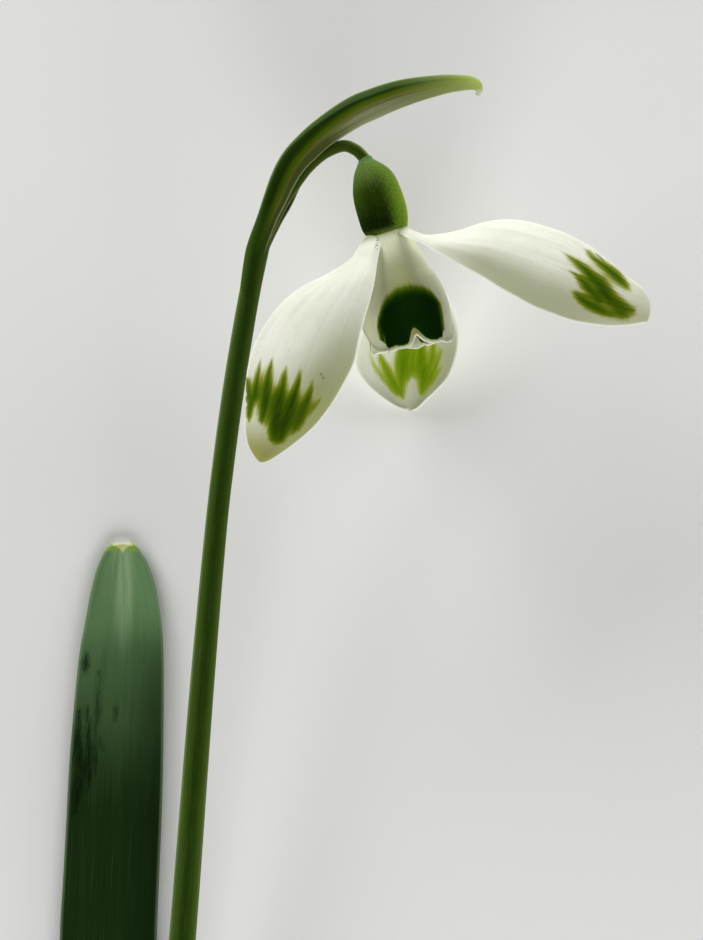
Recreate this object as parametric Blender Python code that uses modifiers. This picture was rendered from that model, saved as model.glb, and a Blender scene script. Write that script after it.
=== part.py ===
"""Snowdrop picked at ground level, in Blender 4.5: metres, +Z up.

The cut shoot lies on its back on a level surface, z = 0. It is a scape (the flower stem) and one leaf
that leave the same papery basal sheath. The scape carries a spathe, and a pedicel from which the
flower nods: an inferior ovary, three spread outer tepals, a cup of three notched inner tepals, six
stamens and a style. The leaf, the sheath and the hindmost outer tepal carry the shoot.
"""

import math

import bmesh
import bpy
import numpy as np
from mathutils import Euler, Vector

MM = 0.001

# Driving dimensions, in millimetres. The plan's zero is under the flower's heart, where the tepals meet.
PLAN_ZERO = (4.35, 51.8)  # from the middle of the object's footprint
HEART = (-0.3, -0.1, 16.75)  # in the plan
SEAT_GAP = 0.4  # between a piece and what carries it

OVARY_LENGTH = 7.7
OVARY_LEAN = 14.0  # degrees, from the plan's length towards +X
CUP_LEAN = 10.0
OUTER_TEPAL_WALL = 0.4
INNER_TEPAL_WALL = 0.3
INNER_TEPAL_LENGTH = 11.7
INNER_BASE_RADIUS = 1.5
INNER_MOUTH_RADIUS = 4.45
INNER_SWELL_RUN = 1.59  # half wave of the cup's swell, in tepal lengths: widest short of the lip
OVERLAP_STEP = 0.33  # an edge lies this far outside the cup or inside it, so that neighbours overlap
LIP_NOTCH_DEPTH = 1.25
LIP_NOTCH_WIDTH = 0.16  # of the half width
LIP_CORNER_DROP = 1.6
STAMEN_LENGTH = 5.6
STAMEN_RING = 0.98
STYLE_LENGTH = 7.6
SPATHE_WALL = 0.3
LEAF_THICKNESS = 0.8
SHEATH_WALL = 0.35
SHEATH_SLANT = 0.08  # of the sheath's length, at its mouth

# Rows of x, y, height above the surface, then the sizes that change along the piece.
SCAPE_ROWS = [  # radius
    (-26.1, -119.0, 3.15, 1.45),
    (-24.7, -106.0, 3.2, 1.43),
    (-22.95, -90.0, 4.3, 1.41),
    (-21.24, -71.5, 6.4, 1.37),
    (-19.29, -47.1, 9.4, 1.24),
    (-17.83, -30.9, 11.4, 1.12),
    (-16.9, -22.8, 12.5, 1.1),
    (-15.77, -14.8, 13.6, 1.09),
    (-14.39, -6.7, 14.7, 1.05),
    (-13.55, -2.3, 15.3, 1.0),
]
PEDICEL_ROWS = [  # radius
    (-13.3, -1.95, 15.35, 0.5),
    (-11.55, 1.1, 15.8, 0.52),
    (-10.3, 3.2, 16.1, 0.54),
    (-9.2, 5.1, 16.4, 0.56),
    (-8.2, 6.6, 16.55, 0.58),
    (-6.7, 7.9, 16.7, 0.6),
    (-4.9, 8.6, 16.8, 0.6),
    (-3.7, 8.3, 16.8, 0.64),
    (-2.9, 7.65, 16.78, 0.72),
]
SPATHE_ROWS = [  # half height, half depth, half angle of the wall
    (-13.4, -1.95, 15.35, 1.0, 1.0, 115),
    (-12.15, 1.25, 15.8, 1.25, 1.1, 112),
    (-11.25, 3.2, 16.1, 1.5, 1.15, 106),
    (-10.35, 5.2, 16.4, 1.65, 1.2, 102),
    (-9.5, 6.7, 16.6, 1.7, 1.2, 102),
    (-8.5, 7.9, 16.7, 1.7, 1.2, 105),
    (-6.75, 9.6, 16.8, 1.65, 1.15, 112),
    (-4.1, 11.55, 16.9, 1.6, 1.1, 145),
    (-2.1, 12.6, 16.95, 1.5, 1.0, 155),
    (1.1, 13.85, 17.0, 1.28, 0.85, 160),
    (4.85, 14.65, 17.0, 0.95, 0.6, 160),
    (7.3, 14.95, 17.0, 0.6, 0.4, 160),
    (8.75, 14.5, 17.0, 0.28, 0.25, 160),
]
LEAF_ROWS = [  # half width along the blade's arc, curl of the blade in radians
    (-26.1, -119.0, 1.05, 2.8, 1.1),
    (-25.3, -111.5, 1.05, 2.8, 1.05),
    (-24.85, -105.5, 1.05, 2.8, 0.95),
    (-24.9, -100.0, 1.0, 2.9, 0.8),
    (-25.8, -94.0, 0.75, 3.6, 0.5),
    (-27.6, -87.0, 0.5, 4.5, 0.32),
    (-28.9, -79.0, 0.42, 5.05, 0.28),
    (-29.05, -70.0, 0.42, 5.05, 0.28),
    (-28.4, -58.0, 0.42, 4.9, 0.28),
    (-27.9, -47.0, 0.42, 4.6, 0.28),
    (-27.6, -39.5, 0.42, 3.95, 0.3),
    (-27.5, -34.6, 0.42, 2.95, 0.34),
    (-27.5, -32.2, 0.5, 1.75, 0.5),
    (-27.55, -31.4, 0.62, 0.6, 0.6),
]
SHEATH_ROWS = [  # half width, half height
    (-26.1, -119.0, 2.75, 3.6, 2.575),
    (-25.35, -112.0, 2.75, 3.6, 2.575),
    (-24.85, -106.0, 2.8, 3.75, 2.625),
    (-24.65, -100.5, 2.95, 4.2, 2.75),
]

# Each midline is a cubic curve from the heart, in millimetres along the plan's axes. A face is the
# direction that the petal's outer side looks: first at the claw, then on the blade.
CLAW_SHARE = 0.4  # of the length
CLAW_WIDTH = 0.15  # of the blade's width
FACE_TURN_SHARE = 0.35  # of the length, in which the petal turns from the first face to the second
TIP_CROWDING = 1.6  # how much closer the rows of faces lie at the tip
OUTER_TEPALS = {
    "outer_tepal_left": {
        "midline": [(-2.35, -0.45, 1.35), (-4.2, -5.1, 5.1), (-11.1, -11.5, 10.0), (-12.95, -22.9, 4.6)],
        "half_width": 5.8,
        "cupping": 0.75,
        "faces": [(-0.75, 0.1, 0.66), (-0.34, 0.1, 0.93)],
    },
    "outer_tepal_right": {
        "midline": [(2.2, 0.05, 1.5), (8.2, -0.5, 4.7), (16.5, -1.3, 9.0), (25.7, -8.6, 5.0)],
        "half_width": 5.0,
        "cupping": 0.75,
        "faces": [(0.0, 1.0, 0.15), (0.16, 0.45, 0.88)],
    },
    "outer_tepal_back": {
        "midline": [(-0.2, -0.25, -2.65), (0.2, -3.1, -9.9), (1.6, -11.0, -17.9), (2.3, -17.7, -16.0)],
        "half_width": 6.4,
        "cupping": 0.9,
        "faces": [(0.0, 0.6, -0.8), (0.0, 0.6, -0.8)],
    },
}
# Turn round the cup from the side that faces up and half angle, in degrees, then each edge's overlap
# step: the front tepal lies outside both neighbours, and the left one inside both.
INNER_TEPALS = {
    "inner_tepal_front": (10.0, 72.0, OVERLAP_STEP, OVERLAP_STEP),
    "inner_tepal_right": (130.0, 68.0, -OVERLAP_STEP, OVERLAP_STEP),
    "inner_tepal_left": (250.0, 68.0, -OVERLAP_STEP, -OVERLAP_STEP),
}

PALETTE = {  # colour, roughness
    "petal_white": ((0.86, 0.87, 0.80), 0.5),
    "ovary_green": ((0.08, 0.17, 0.025), 0.4),
    "stem_green": ((0.12, 0.2, 0.05), 0.45),
    "spathe_green": ((0.17, 0.25, 0.07), 0.45),
    "leaf_green": ((0.11, 0.22, 0.11), 0.5),
    "anther_orange": ((0.75, 0.42, 0.08), 0.6),
    "style_green": ((0.72, 0.78, 0.5), 0.5),
    "sheath_cream": ((0.72, 0.7, 0.52), 0.6),
}


def clear_scene():
    for obj in list(bpy.data.objects):
        bpy.data.objects.remove(obj)


def material(name):
    """A Principled material from the palette, made once."""
    made = bpy.data.materials.get(name)
    if made is None:
        colour, roughness = PALETTE[name]
        made = bpy.data.materials.new(name)
        made.use_nodes = True
        shader = made.node_tree.nodes["Principled BSDF"]
        shader.inputs["Base Color"].default_value = (*colour, 1.0)
        shader.inputs["Roughness"].default_value = roughness
        shader.inputs["Metallic"].default_value = 0.0
    return made


def add_object(name, data, parent, collection, material_name):
    obj = bpy.data.objects.new(name, data)
    collection.objects.link(obj)
    obj.parent = parent
    if not data.materials:
        data.materials.append(material(material_name))
    return obj


def add_empty(name, parent, collection, location, rotation=(0.0, 0.0, 0.0)):
    empty = bpy.data.objects.new(name, None)
    collection.objects.link(empty)
    empty.parent = parent
    empty.location = location
    empty.rotation_euler = Euler(rotation)
    return empty


def through(rows, share):
    """Catmull-Rom curve through the rows, read at shares from 0 to 1 of its knots."""
    knots = np.array(rows, float)
    knots = np.vstack([2 * knots[0] - knots[1], knots, 2 * knots[-1] - knots[-2]])
    spans = len(knots) - 3
    place = np.clip(share, 0.0, 1.0) * spans
    index = np.minimum(place.astype(int), spans - 1)
    t = (place - index)[:, None]
    a, b, c, d = (knots[index + k] for k in range(4))
    return 0.5 * (2 * b + (c - a) * t + (2 * a - 5 * b + 4 * c - d) * t**2 + (3 * b - a - 3 * c + d) * t**3)


def unit(vectors):
    return vectors / np.linalg.norm(vectors, axis=-1, keepdims=True)


def along(rows, share):
    """The curve's values and its unit tangents at each share."""
    step = 1e-3
    tangents = through(rows, share + step)[:, :3] - through(rows, share - step)[:, :3]
    return through(rows, share), unit(tangents)


def grid_mesh(name, surface, rows, columns):
    """A grid of rows by columns quads, its points put at surface(u, v): u from 0 to 1, v from -1 to 1."""
    mesh = bpy.data.meshes.new(name)
    bm = bmesh.new()
    bmesh.ops.create_grid(bm, x_segments=rows, y_segments=columns, size=0.5)
    u = np.array([vertex.co.x + 0.5 for vertex in bm.verts])
    v = np.array([vertex.co.y * 2.0 for vertex in bm.verts])
    for vertex, point in zip(bm.verts, surface(u, v) * MM):
        vertex.co = Vector(point)
    bmesh.ops.remove_doubles(bm, verts=bm.verts, dist=1e-6)
    bm.to_mesh(mesh)
    bm.free()
    mesh.shade_smooth()
    return mesh


def thicken(obj, wall):
    """Gives an open sheet its wall, half on each side."""
    solidify = obj.modifiers.new("wall", "SOLIDIFY")
    solidify.thickness = wall * MM
    solidify.offset = 0.0


def add_tube(name, rows, parent, collection, material_name, points):
    """A round stem through rows of x, y, height and radius, as a bevelled curve with capped ends."""
    values = through(rows, np.linspace(0.0, 1.0, points))
    curve = bpy.data.curves.new(name, "CURVE")
    curve.dimensions = "3D"
    curve.bevel_depth = MM
    curve.bevel_resolution = 4
    curve.use_fill_caps = True
    spline = curve.splines.new("POLY")
    spline.points.add(points - 1)
    for point, (x, y, z, radius) in zip(spline.points, values):
        point.co = (x * MM, y * MM, z * MM, 1.0)
        point.radius = radius
    return add_object(name, curve, parent, collection, material_name)


def turned_mesh(name, profile):
    """A profile of (radius, height) that runs down its outer side, ready for a Screw modifier."""
    mesh = bpy.data.meshes.new(name)
    points = [(radius * MM, 0.0, height * MM) for radius, height in profile]
    mesh.from_pydata(points, [(i, i + 1) for i in range(len(points) - 1)], [])
    return mesh


def turn(obj, steps):
    screw = obj.modifiers.new("turn", "SCREW")
    screw.axis = "Z"
    screw.steps = steps
    screw.render_steps = steps
    screw.use_merge_vertices = True
    screw.merge_threshold = 1e-6


# ---- Outer tepals: a curved midline that carries a leaf-shaped, cupped blade.


def bezier(points, t):
    a, b, c, d = (np.array(point, float) for point in points)
    t = t[:, None]
    s = 1.0 - t
    return a * s**3 + 3 * b * s**2 * t + 3 * c * s * t**2 + d * t**3


def midline_frame(points, faces, u):
    """Place, tangent, outward normal and sideways direction at shares u of the midline's length."""
    t = np.linspace(0.0, 1.0, 200)
    line = bezier(points, t)
    length = np.concatenate([[0.0], np.cumsum(np.linalg.norm(np.diff(line, axis=0), axis=1))])
    at = np.interp(u * length[-1], length, t)
    tangent = unit(bezier(points, at + 1e-3) - bezier(points, at - 1e-3))
    turn_over = np.clip(u / FACE_TURN_SHARE, 0.0, 1.0)[:, None]
    turn_over = turn_over**2 * (3 - 2 * turn_over)
    face = np.array(faces[0]) * (1 - turn_over) + np.array(faces[1]) * turn_over
    normal = unit(face - np.sum(face * tangent, axis=1, keepdims=True) * tangent)
    return bezier(points, at), tangent, normal, np.cross(tangent, normal)


def blade_half_width(u):
    """Share of the full half width: a narrow claw, widest at 0.62 of the length, and a round tip."""
    rise, fall = 1.15, 0.7
    peak = rise / (rise + fall)
    blade = (u / peak) ** rise * ((1 - u) / (1 - peak)) ** fall
    claw = CLAW_WIDTH * np.clip(1 - u / CLAW_SHARE, 0.0, 1.0)
    return blade + claw


def outer_tepal_surface(shape):
    def surface(t, v):
        u = 1.0 - (1.0 - t) ** TIP_CROWDING
        place, _, normal, side = midline_frame(shape["midline"], shape["faces"], u)
        half = shape["half_width"] * blade_half_width(u)[:, None]
        curl = shape["cupping"]
        across = (curl * v)[:, None]
        radius = half / curl
        return place + side * radius * np.sin(across) - normal * radius * (1 - np.cos(across))

    return surface


# ---- Inner tepals, stamens and style, in the cup's own frame: +Z out of the cup, +Y up at turn 0.


def inner_tepal_surface(half_angle, first_step, second_step):
    """A sector of the cup's wall, whose notched lip is longest between the notch and the corners."""

    def surface(u, v):
        notch = LIP_NOTCH_DEPTH * np.exp(-((v / LIP_NOTCH_WIDTH) ** 2))
        length = INNER_TEPAL_LENGTH - notch - LIP_CORNER_DROP * np.abs(v) ** 4
        s = SEAT_GAP + u * (length - SEAT_GAP)
        swell = np.sin(math.pi * s / (INNER_SWELL_RUN * INNER_TEPAL_LENGTH))
        radius = INNER_BASE_RADIUS + (INNER_MOUTH_RADIUS - INNER_BASE_RADIUS) * swell
        radius = radius + np.where(v < 0, -first_step, second_step) * v
        angle = math.radians(half_angle) * v
        return np.stack([radius * np.sin(angle), radius * np.cos(angle), s], axis=1)

    return surface


def add_cup(cup, collection):
    for name, (turn_degrees, *sector) in INNER_TEPALS.items():
        mesh = grid_mesh(name, inner_tepal_surface(*sector), rows=12, columns=12)
        tepal = add_object(name, mesh, cup, collection, "petal_white")
        tepal.rotation_euler = Euler((0.0, 0.0, -math.radians(turn_degrees)))
        thicken(tepal, INNER_TEPAL_WALL)
    profile = [(0, STYLE_LENGTH), (0.08, STYLE_LENGTH), (0.22, 5.5), (0.24, 2.0), (0.2, 0), (0, 0)]
    style = add_object("style", turned_mesh("style", profile), cup, collection, "style_green")
    style.location = (0.0, 0.0, SEAT_GAP * MM)
    turn(style, 10)


def add_stamens(cup, collection):
    """Six stamens in a ring: a short filament, then a long anther that ends in a point."""
    profile = [(0, STAMEN_LENGTH), (0.06, STAMEN_LENGTH), (0.2, 4.7), (0.34, 3.2), (0.36, 2.0), (0.28, 1.2)]
    profile += [(0.15, 1.0), (0.15, 0), (0, 0)]
    mesh = turned_mesh("stamen", profile)
    for number in range(6):
        turn_angle = math.radians(30 + 60 * number)
        stamen = add_object(f"stamen_{number + 1}", mesh, cup, collection, "anther_orange")
        stamen.location = (
            math.sin(turn_angle) * STAMEN_RING * MM,
            math.cos(turn_angle) * STAMEN_RING * MM,
            SEAT_GAP * MM,
        )
        turn(stamen, 10)


def add_ovary(heart, collection):
    """Barrel-shaped inferior ovary, turned about its own axis and seated behind the tepals."""
    shoulder, belly, rim = 1.9, 2.5, 2.15
    profile = [
        (0, OVARY_LENGTH),
        (0.75, OVARY_LENGTH),
        (1.25, 0.95 * OVARY_LENGTH),
        (shoulder, 0.82 * OVARY_LENGTH),
        (2.3, 0.66 * OVARY_LENGTH),
        (belly, 0.46 * OVARY_LENGTH),
        (2.48, 0.28 * OVARY_LENGTH),
        (2.35, 0.12 * OVARY_LENGTH),
        (rim, 0.02 * OVARY_LENGTH),
        (1.7, 0),
        (0, 0),
    ]
    ovary = add_object("ovary", turned_mesh("ovary", profile), heart, collection, "ovary_green")
    ovary.rotation_euler = Euler((-math.pi / 2, 0.0, math.radians(OVARY_LEAN)))
    turn(ovary, 24)


# ---- Spathe, leaf and sheath: sections carried along a smooth path.


def path_frame(rows, share):
    """Values, tangent, and two directions across the path: outward in the plan, and up."""
    values, tangent = along(rows, share)
    outward = unit(np.cross(np.array([0.0, 0.0, 1.0]), tangent))
    return values, tangent, outward, np.cross(tangent, outward)


def spathe_surface(u, v):
    """A hooded sheath, open along the inside of its curve. v goes round the wall from edge to edge."""
    values, _, outward, up = path_frame(SPATHE_ROWS, u)
    angle = (np.radians(values[:, 5]) * v)[:, None]
    height, depth = values[:, 3:4], values[:, 4:5]
    return values[:, :3] + outward * height * np.cos(angle) + up * depth * np.sin(angle)


def leaf_surface(u, v):
    """A strap that curls up at its edges, and closes round the scape inside the sheath."""
    values, _, outward, up = path_frame(LEAF_ROWS, u)
    half, curl = values[:, 3:4], values[:, 4:5]
    across = curl * v[:, None]
    radius = half / curl
    return values[:, :3] - outward * radius * np.sin(across) + up * radius * (1 - np.cos(across))


def sheath_surface(u, v):
    """An oval tube round the leaf's base and the scape. Its mouth slants, longer on the upper side."""
    angle = (math.pi * v)[:, None]
    slant = SHEATH_SLANT * u * (1 - np.cos(angle[:, 0])) / 2
    values, _, outward, up = path_frame(SHEATH_ROWS, u * (1 - SHEATH_SLANT) + slant)
    return values[:, :3] + outward * values[:, 3:4] * np.sin(angle) - up * values[:, 4:5] * np.cos(angle)


def build():
    clear_scene()
    collection = bpy.data.collections.new("snowdrop_flower")
    bpy.context.scene.collection.children.link(collection)
    plan = add_empty("plan", None, collection, (PLAN_ZERO[0] * MM, PLAN_ZERO[1] * MM, 0.0))
    heart = add_empty("heart", plan, collection, [part * MM for part in HEART])
    cup = add_empty("cup", heart, collection, (0.0, 0.0, 0.0), (math.pi / 2, 0.0, math.radians(CUP_LEAN)))

    add_tube("scape", SCAPE_ROWS, plan, collection, "stem_green", points=34)
    add_tube("pedicel", PEDICEL_ROWS, plan, collection, "stem_green", points=24)
    add_ovary(heart, collection)
    for name, shape in OUTER_TEPALS.items():
        mesh = grid_mesh(name, outer_tepal_surface(shape), rows=18, columns=8)
        tepal = add_object(name, mesh, heart, collection, "petal_white")
        thicken(tepal, OUTER_TEPAL_WALL)
    add_cup(cup, collection)
    add_stamens(cup, collection)

    for name, surface, rows, columns, wall, material_name in (
        ("spathe", spathe_surface, 26, 10, SPATHE_WALL, "spathe_green"),
        ("leaf", leaf_surface, 40, 6, LEAF_THICKNESS, "leaf_green"),
        ("sheath", sheath_surface, 8, 20, SHEATH_WALL, "sheath_cream"),
    ):
        piece = add_object(name, grid_mesh(name, surface, rows, columns), plan, collection, material_name)
        thicken(piece, wall)


build()
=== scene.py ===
"""Snowdrop picked at ground level, laid on its back: a Blender 4.5 add-on that grows its skins round the
frame.

Shapes are worked out in millimetres from the plan's zero, which lies under the flower's heart, with +Y
towards the top of the flower and +Z away from the surface that it lies on.
"""

import math

import bpy
import numpy as np
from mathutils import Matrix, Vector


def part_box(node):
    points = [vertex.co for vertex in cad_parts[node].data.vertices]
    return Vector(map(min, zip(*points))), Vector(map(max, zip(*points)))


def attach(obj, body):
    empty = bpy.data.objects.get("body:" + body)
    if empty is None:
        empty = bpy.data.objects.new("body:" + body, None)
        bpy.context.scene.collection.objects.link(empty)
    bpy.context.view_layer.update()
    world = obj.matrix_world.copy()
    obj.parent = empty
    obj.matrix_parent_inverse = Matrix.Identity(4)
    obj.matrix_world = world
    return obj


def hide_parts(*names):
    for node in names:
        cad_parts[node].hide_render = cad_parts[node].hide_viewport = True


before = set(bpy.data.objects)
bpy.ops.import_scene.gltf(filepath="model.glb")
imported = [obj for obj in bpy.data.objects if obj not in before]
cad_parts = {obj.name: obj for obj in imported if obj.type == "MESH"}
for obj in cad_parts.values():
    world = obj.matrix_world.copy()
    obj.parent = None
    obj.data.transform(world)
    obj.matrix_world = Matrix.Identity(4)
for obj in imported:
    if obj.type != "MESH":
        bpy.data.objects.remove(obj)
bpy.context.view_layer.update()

bl_info = {
    "name": "Snowdrop flower",
    "version": (1, 0, 0),
    "blender": (4, 5, 0),
    "location": "3D View > Sidebar > Snowdrop",
    "description": "Grows the skins of a picked snowdrop round its frame, and sets its stage",
    "category": "Object",
}

MM = 0.001
UP = np.array([0.0, 0.0, 1.0])

# The cup of inner tepals hangs along its axis from the heart, which the frame's style gives.
CUP_LEAN = math.radians(10)
CUP_AXIS = np.array([math.sin(CUP_LEAN), -math.cos(CUP_LEAN), 0.0])
CUP_RIGHT = np.array([math.cos(CUP_LEAN), math.sin(CUP_LEAN), 0.0])
STYLE_MIDDLE = 4.2  # from the heart, in millimetres
HEART_PLACE = np.array([-0.3, -0.1, 16.75])  # from the plan's zero


def box_middle(node):
    """The middle of a frame node's box, in millimetres."""
    low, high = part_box(node)
    return (np.array(low) + np.array(high)) / 2 / MM


HEART = box_middle("style") - CUP_AXIS * STYLE_MIDDLE
PLAN_ZERO = HEART - HEART_PLACE


# ---- Curves and skins.

PATTERN_WIDTH = 5.0  # half the width of any blade, in millimetres, to the patterns that follow it
CUT_EDGE = 0.12  # rounding at the ends of a stalk, in millimetres


def unit(vectors):
    """Each vector divided by its length."""
    return vectors / np.maximum(np.linalg.norm(vectors, axis=-1, keepdims=True), 1e-12)


def smooth(value, low, high):
    """0 below low, 1 above high, and 3t^2 - 2t^3 between them."""
    t = np.clip((value - low) / (high - low), 0.0, 1.0)
    return t * t * (3 - 2 * t)


def bell(value, width):
    """1 at zero, falling off as exp(-(value / width)^2)."""
    return np.exp(-((value / width) ** 2))


def through(rows, share):
    """Catmull-Rom curve through numbered rows, read at shares from 0 to 1. Its ends are carried on
    straight."""
    knots = np.array(rows, float)
    knots = np.vstack([2 * knots[0] - knots[1], knots, 2 * knots[-1] - knots[-2]])
    spans = len(knots) - 3
    place = np.asarray(share, float) * spans
    index = np.clip(place.astype(int), 0, spans - 1)
    t = (place - index)[..., None]
    a, b, c, d = (knots[index + k] for k in range(4))
    return 0.5 * (2 * b + (c - a) * t + (2 * a - 5 * b + 4 * c - d) * t**2 + (3 * b - a - 3 * c + d) * t**3)


def shares(count, crowding=0.6):
    """Shares from 0 to 1, closer together at both ends: an even step mixed with a half turn's cosine."""
    t = np.linspace(0.0, 1.0, count)
    return (1 - crowding) * t + crowding * (0.5 - 0.5 * np.cos(np.pi * t))


def run_length(points):
    """Length along a row of points, from 0 at the first one."""
    return np.concatenate([[0.0], np.cumsum(np.linalg.norm(np.diff(points, axis=0), axis=1))])


def skin(name, grid, uv, layers, ends):
    """A closed mesh from a stack of round loops, rows x columns x 3 in millimetres, with a quad between
    neighbours.

    The last column of the grid, of uv and of the layers stands where the first one does: the mesh joins
    round there, and uv runs on. ends says how it closes: "poles" closes the first and last loops with
    triangles to their middle, "zip" joins each of those loops to itself, column i to column -i, and "ring"
    joins the last loop to the first one. layers are numbers stored on the points. Where the enclosed volume
    is negative, every face is turned over.
    """
    loops = grid[:, :-1]
    layers = {key: layer[:, :-1] for key, layer in layers.items()}
    rows, columns = loops.shape[:2]
    points = loops.reshape(-1, 3)
    index = np.arange(rows * columns).reshape(rows, columns)
    place = np.arange(rows * (columns + 1)).reshape(rows, columns + 1)
    if ends == "zip":
        for row in (0, -1):
            index[row, columns // 2 + 1 :] = index[row, columns // 2 - 1 : 0 : -1]
    if ends == "ring":
        index = np.vstack([index, index[:1]])
        place = np.vstack([place, place[:1]])
    wrapped = np.hstack([index, index[:, :1]])

    def corners(numbers):
        first, last = numbers[:-1], numbers[1:]
        return np.stack([first[:, :-1], first[:, 1:], last[:, 1:], last[:, :-1]], axis=-1).reshape(-1, 4)

    quads, quad_places = corners(wrapped), corners(place)
    values = {key: layer.reshape(-1) for key, layer in layers.items()}
    triangles = np.zeros((0, 3), int)
    triangle_uv = np.zeros((0, 3, 2))
    if ends == "poles":
        middle = np.stack([loops[0].mean(axis=0), loops[-1].mean(axis=0)])
        first, last = len(points), len(points) + 1
        points = np.vstack([points, middle])
        values = {
            key: np.concatenate([layer.reshape(-1), [layer[0].mean(), layer[-1].mean()]])
            for key, layer in layers.items()
        }
        start = np.stack([wrapped[0, 1:], wrapped[0, :-1], np.full(columns, first)], axis=1)
        stop = np.stack([wrapped[-1, :-1], wrapped[-1, 1:], np.full(columns, last)], axis=1)
        triangles = np.vstack([start, stop])
        start_uv = np.stack([uv[0, 1:], uv[0, :-1], (uv[0, 1:] + uv[0, :-1]) / 2], axis=1)
        stop_uv = np.stack([uv[-1, :-1], uv[-1, 1:], (uv[-1, :-1] + uv[-1, 1:]) / 2], axis=1)
        triangle_uv = np.concatenate([start_uv, stop_uv])

    fans = np.vstack([quads[:, [0, 1, 2]], quads[:, [0, 2, 3]], triangles])
    p, q, r = (points[fans[:, k]] for k in range(3))
    if np.sum(p * np.cross(q, r)) < 0:
        quads, quad_places = quads[:, ::-1], quad_places[:, ::-1]
        triangles, triangle_uv = triangles[:, ::-1], triangle_uv[:, ::-1]

    flat = np.concatenate([quads.ravel(), triangles.ravel()])
    used, flat = np.unique(flat, return_inverse=True)
    sizes = np.concatenate([np.full(len(quads), 4), np.full(len(triangles), 3)])
    starts = np.concatenate([[0], np.cumsum(sizes)[:-1]])
    mesh = bpy.data.meshes.new(name)
    mesh.vertices.add(len(used))
    mesh.vertices.foreach_set("co", ((points[used] + PLAN_ZERO) * MM).ravel())
    mesh.loops.add(len(flat))
    mesh.loops.foreach_set("vertex_index", flat.ravel())
    mesh.polygons.add(len(sizes))
    mesh.polygons.foreach_set("loop_start", starts)
    mesh.update(calc_edges=True)
    if mesh.validate():
        raise RuntimeError(f"{name} has faulty faces")
    uv = np.vstack([uv.reshape(-1, 2)[quad_places.ravel()], triangle_uv.reshape(-1, 2)])
    mesh.uv_layers.new(name="skin").data.foreach_set("uv", uv.ravel())
    for key, value in values.items():
        attribute = mesh.attributes.new(key, "FLOAT", "POINT")
        attribute.data.foreach_set("value", value[used].astype(np.float32))
    mesh.shade_smooth()
    return mesh


def plant(name, mesh, node, finish):
    """Puts a skin in place of its frame node, at the origin and its finish."""
    piece = bpy.data.objects.new(name, mesh)
    bpy.context.scene.collection.objects.link(piece)
    mesh.materials.append(finish)
    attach(piece, "root")
    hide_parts(node)


def full_width(u):
    """A blade that reaches to its margins all along: 1 at each share u."""
    return np.ones_like(u)


def blade(name, sheet, spread, u, columns, wall, marks, round_ends=(0.006, 0.006), pinch=0.5):
    """A thin blade round its middle sheet.

    sheet(u, x) is a point, with u along the blade and x across it. Each loop goes once round the wall at
    the angle a: x = -spread(u) cos(a), and the skin stands off the sheet by half the wall times
    |sin(a)|^pinch along the sheet's normal, so the margins are thin and round. The wall closes at both ends
    on a quarter ellipse that takes the shares round_ends of the length. marks(u, x, points, side) gives the
    layers. The uv map runs in millimetres along the blade, and takes half its width as PATTERN_WIDTH.
    """
    angle = 2 * np.pi * np.arange(columns + 1) / columns
    spread_u = spread(u)[:, None]
    x = spread_u * -np.cos(angle)[None, :]
    u = u[:, None] + 0 * x
    lift = np.sign(np.sin(angle)) * np.abs(np.sin(angle)) ** pinch
    step = 1e-4
    middle = sheet(u, x)
    along = sheet(u + step, x) - sheet(u - step, x)
    across = sheet(u, x + step) - sheet(u, x - step)
    normal = unit(np.cross(along, across))
    if normal[len(normal) // 2, :, 2].mean() < 0:
        normal = -normal
    from_start = np.clip(1 - u / round_ends[0], 0, 1)
    from_stop = np.clip(1 - (1 - u) / round_ends[1], 0, 1)
    rounding = np.sqrt(1 - from_start**2) * np.sqrt(1 - from_stop**2)
    thickness = wall(u, x) if callable(wall) else wall
    points = middle + normal * (0.5 * thickness * rounding * lift)[..., None]
    length = run_length(middle[:, columns // 4])
    uv = np.stack([length[:, None] + 0 * x, x * PATTERN_WIDTH], axis=-1)
    return skin(name, points, uv, marks(u, x, middle, lift[None, :] + 0 * x), "zip")


def path_frame(rows, share):
    """Values on a path and the directions across it: outwards, which is up x tangent, and tangent x
    outwards."""
    share = np.asarray(share, float)
    step = 1e-3
    tangent = unit(through(rows, share + step)[..., :3] - through(rows, share - step)[..., :3])
    outward = unit(np.cross(UP, tangent))
    return through(rows, share), outward, np.cross(tangent, outward)


def stalk(name, rows, points, columns, section):
    """A round stalk along a path. At the angle a the skin stands off the path by the row's radius times
    section(a), outwards by cos(a) and up by sin(a), and its ends close with a short rounded edge."""
    share = shares(points, 0.3)
    values, outward, up = path_frame(rows, share)
    angle = 2 * np.pi * np.arange(columns + 1) / columns
    length = run_length(values[:, :3])
    from_end = np.minimum(length, length[-1] - length)[:, None]
    edge = 0.9 + 0.1 * np.sqrt(1 - (1 - np.clip(from_end / CUT_EDGE, 0, 1)) ** 2)
    radius = values[:, 3:4] * section(angle)[None, :] * edge
    ring = outward[:, None] * np.cos(angle)[None, :, None] + up[:, None] * np.sin(angle)[None, :, None]
    loops = values[:, None, :3] + ring * radius[..., None]
    around = angle[None, :] * values[:, 3].mean()
    uv = np.stack([length[:, None] + 0 * radius, around + 0 * radius], axis=-1)
    layers = {
        "side": np.cos(angle)[None, :] + 0 * radius,
        "cut": (length[:, None] < 1e-6) + 0 * radius,
    }
    return skin(name, loops, uv, layers, "poles")


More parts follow.
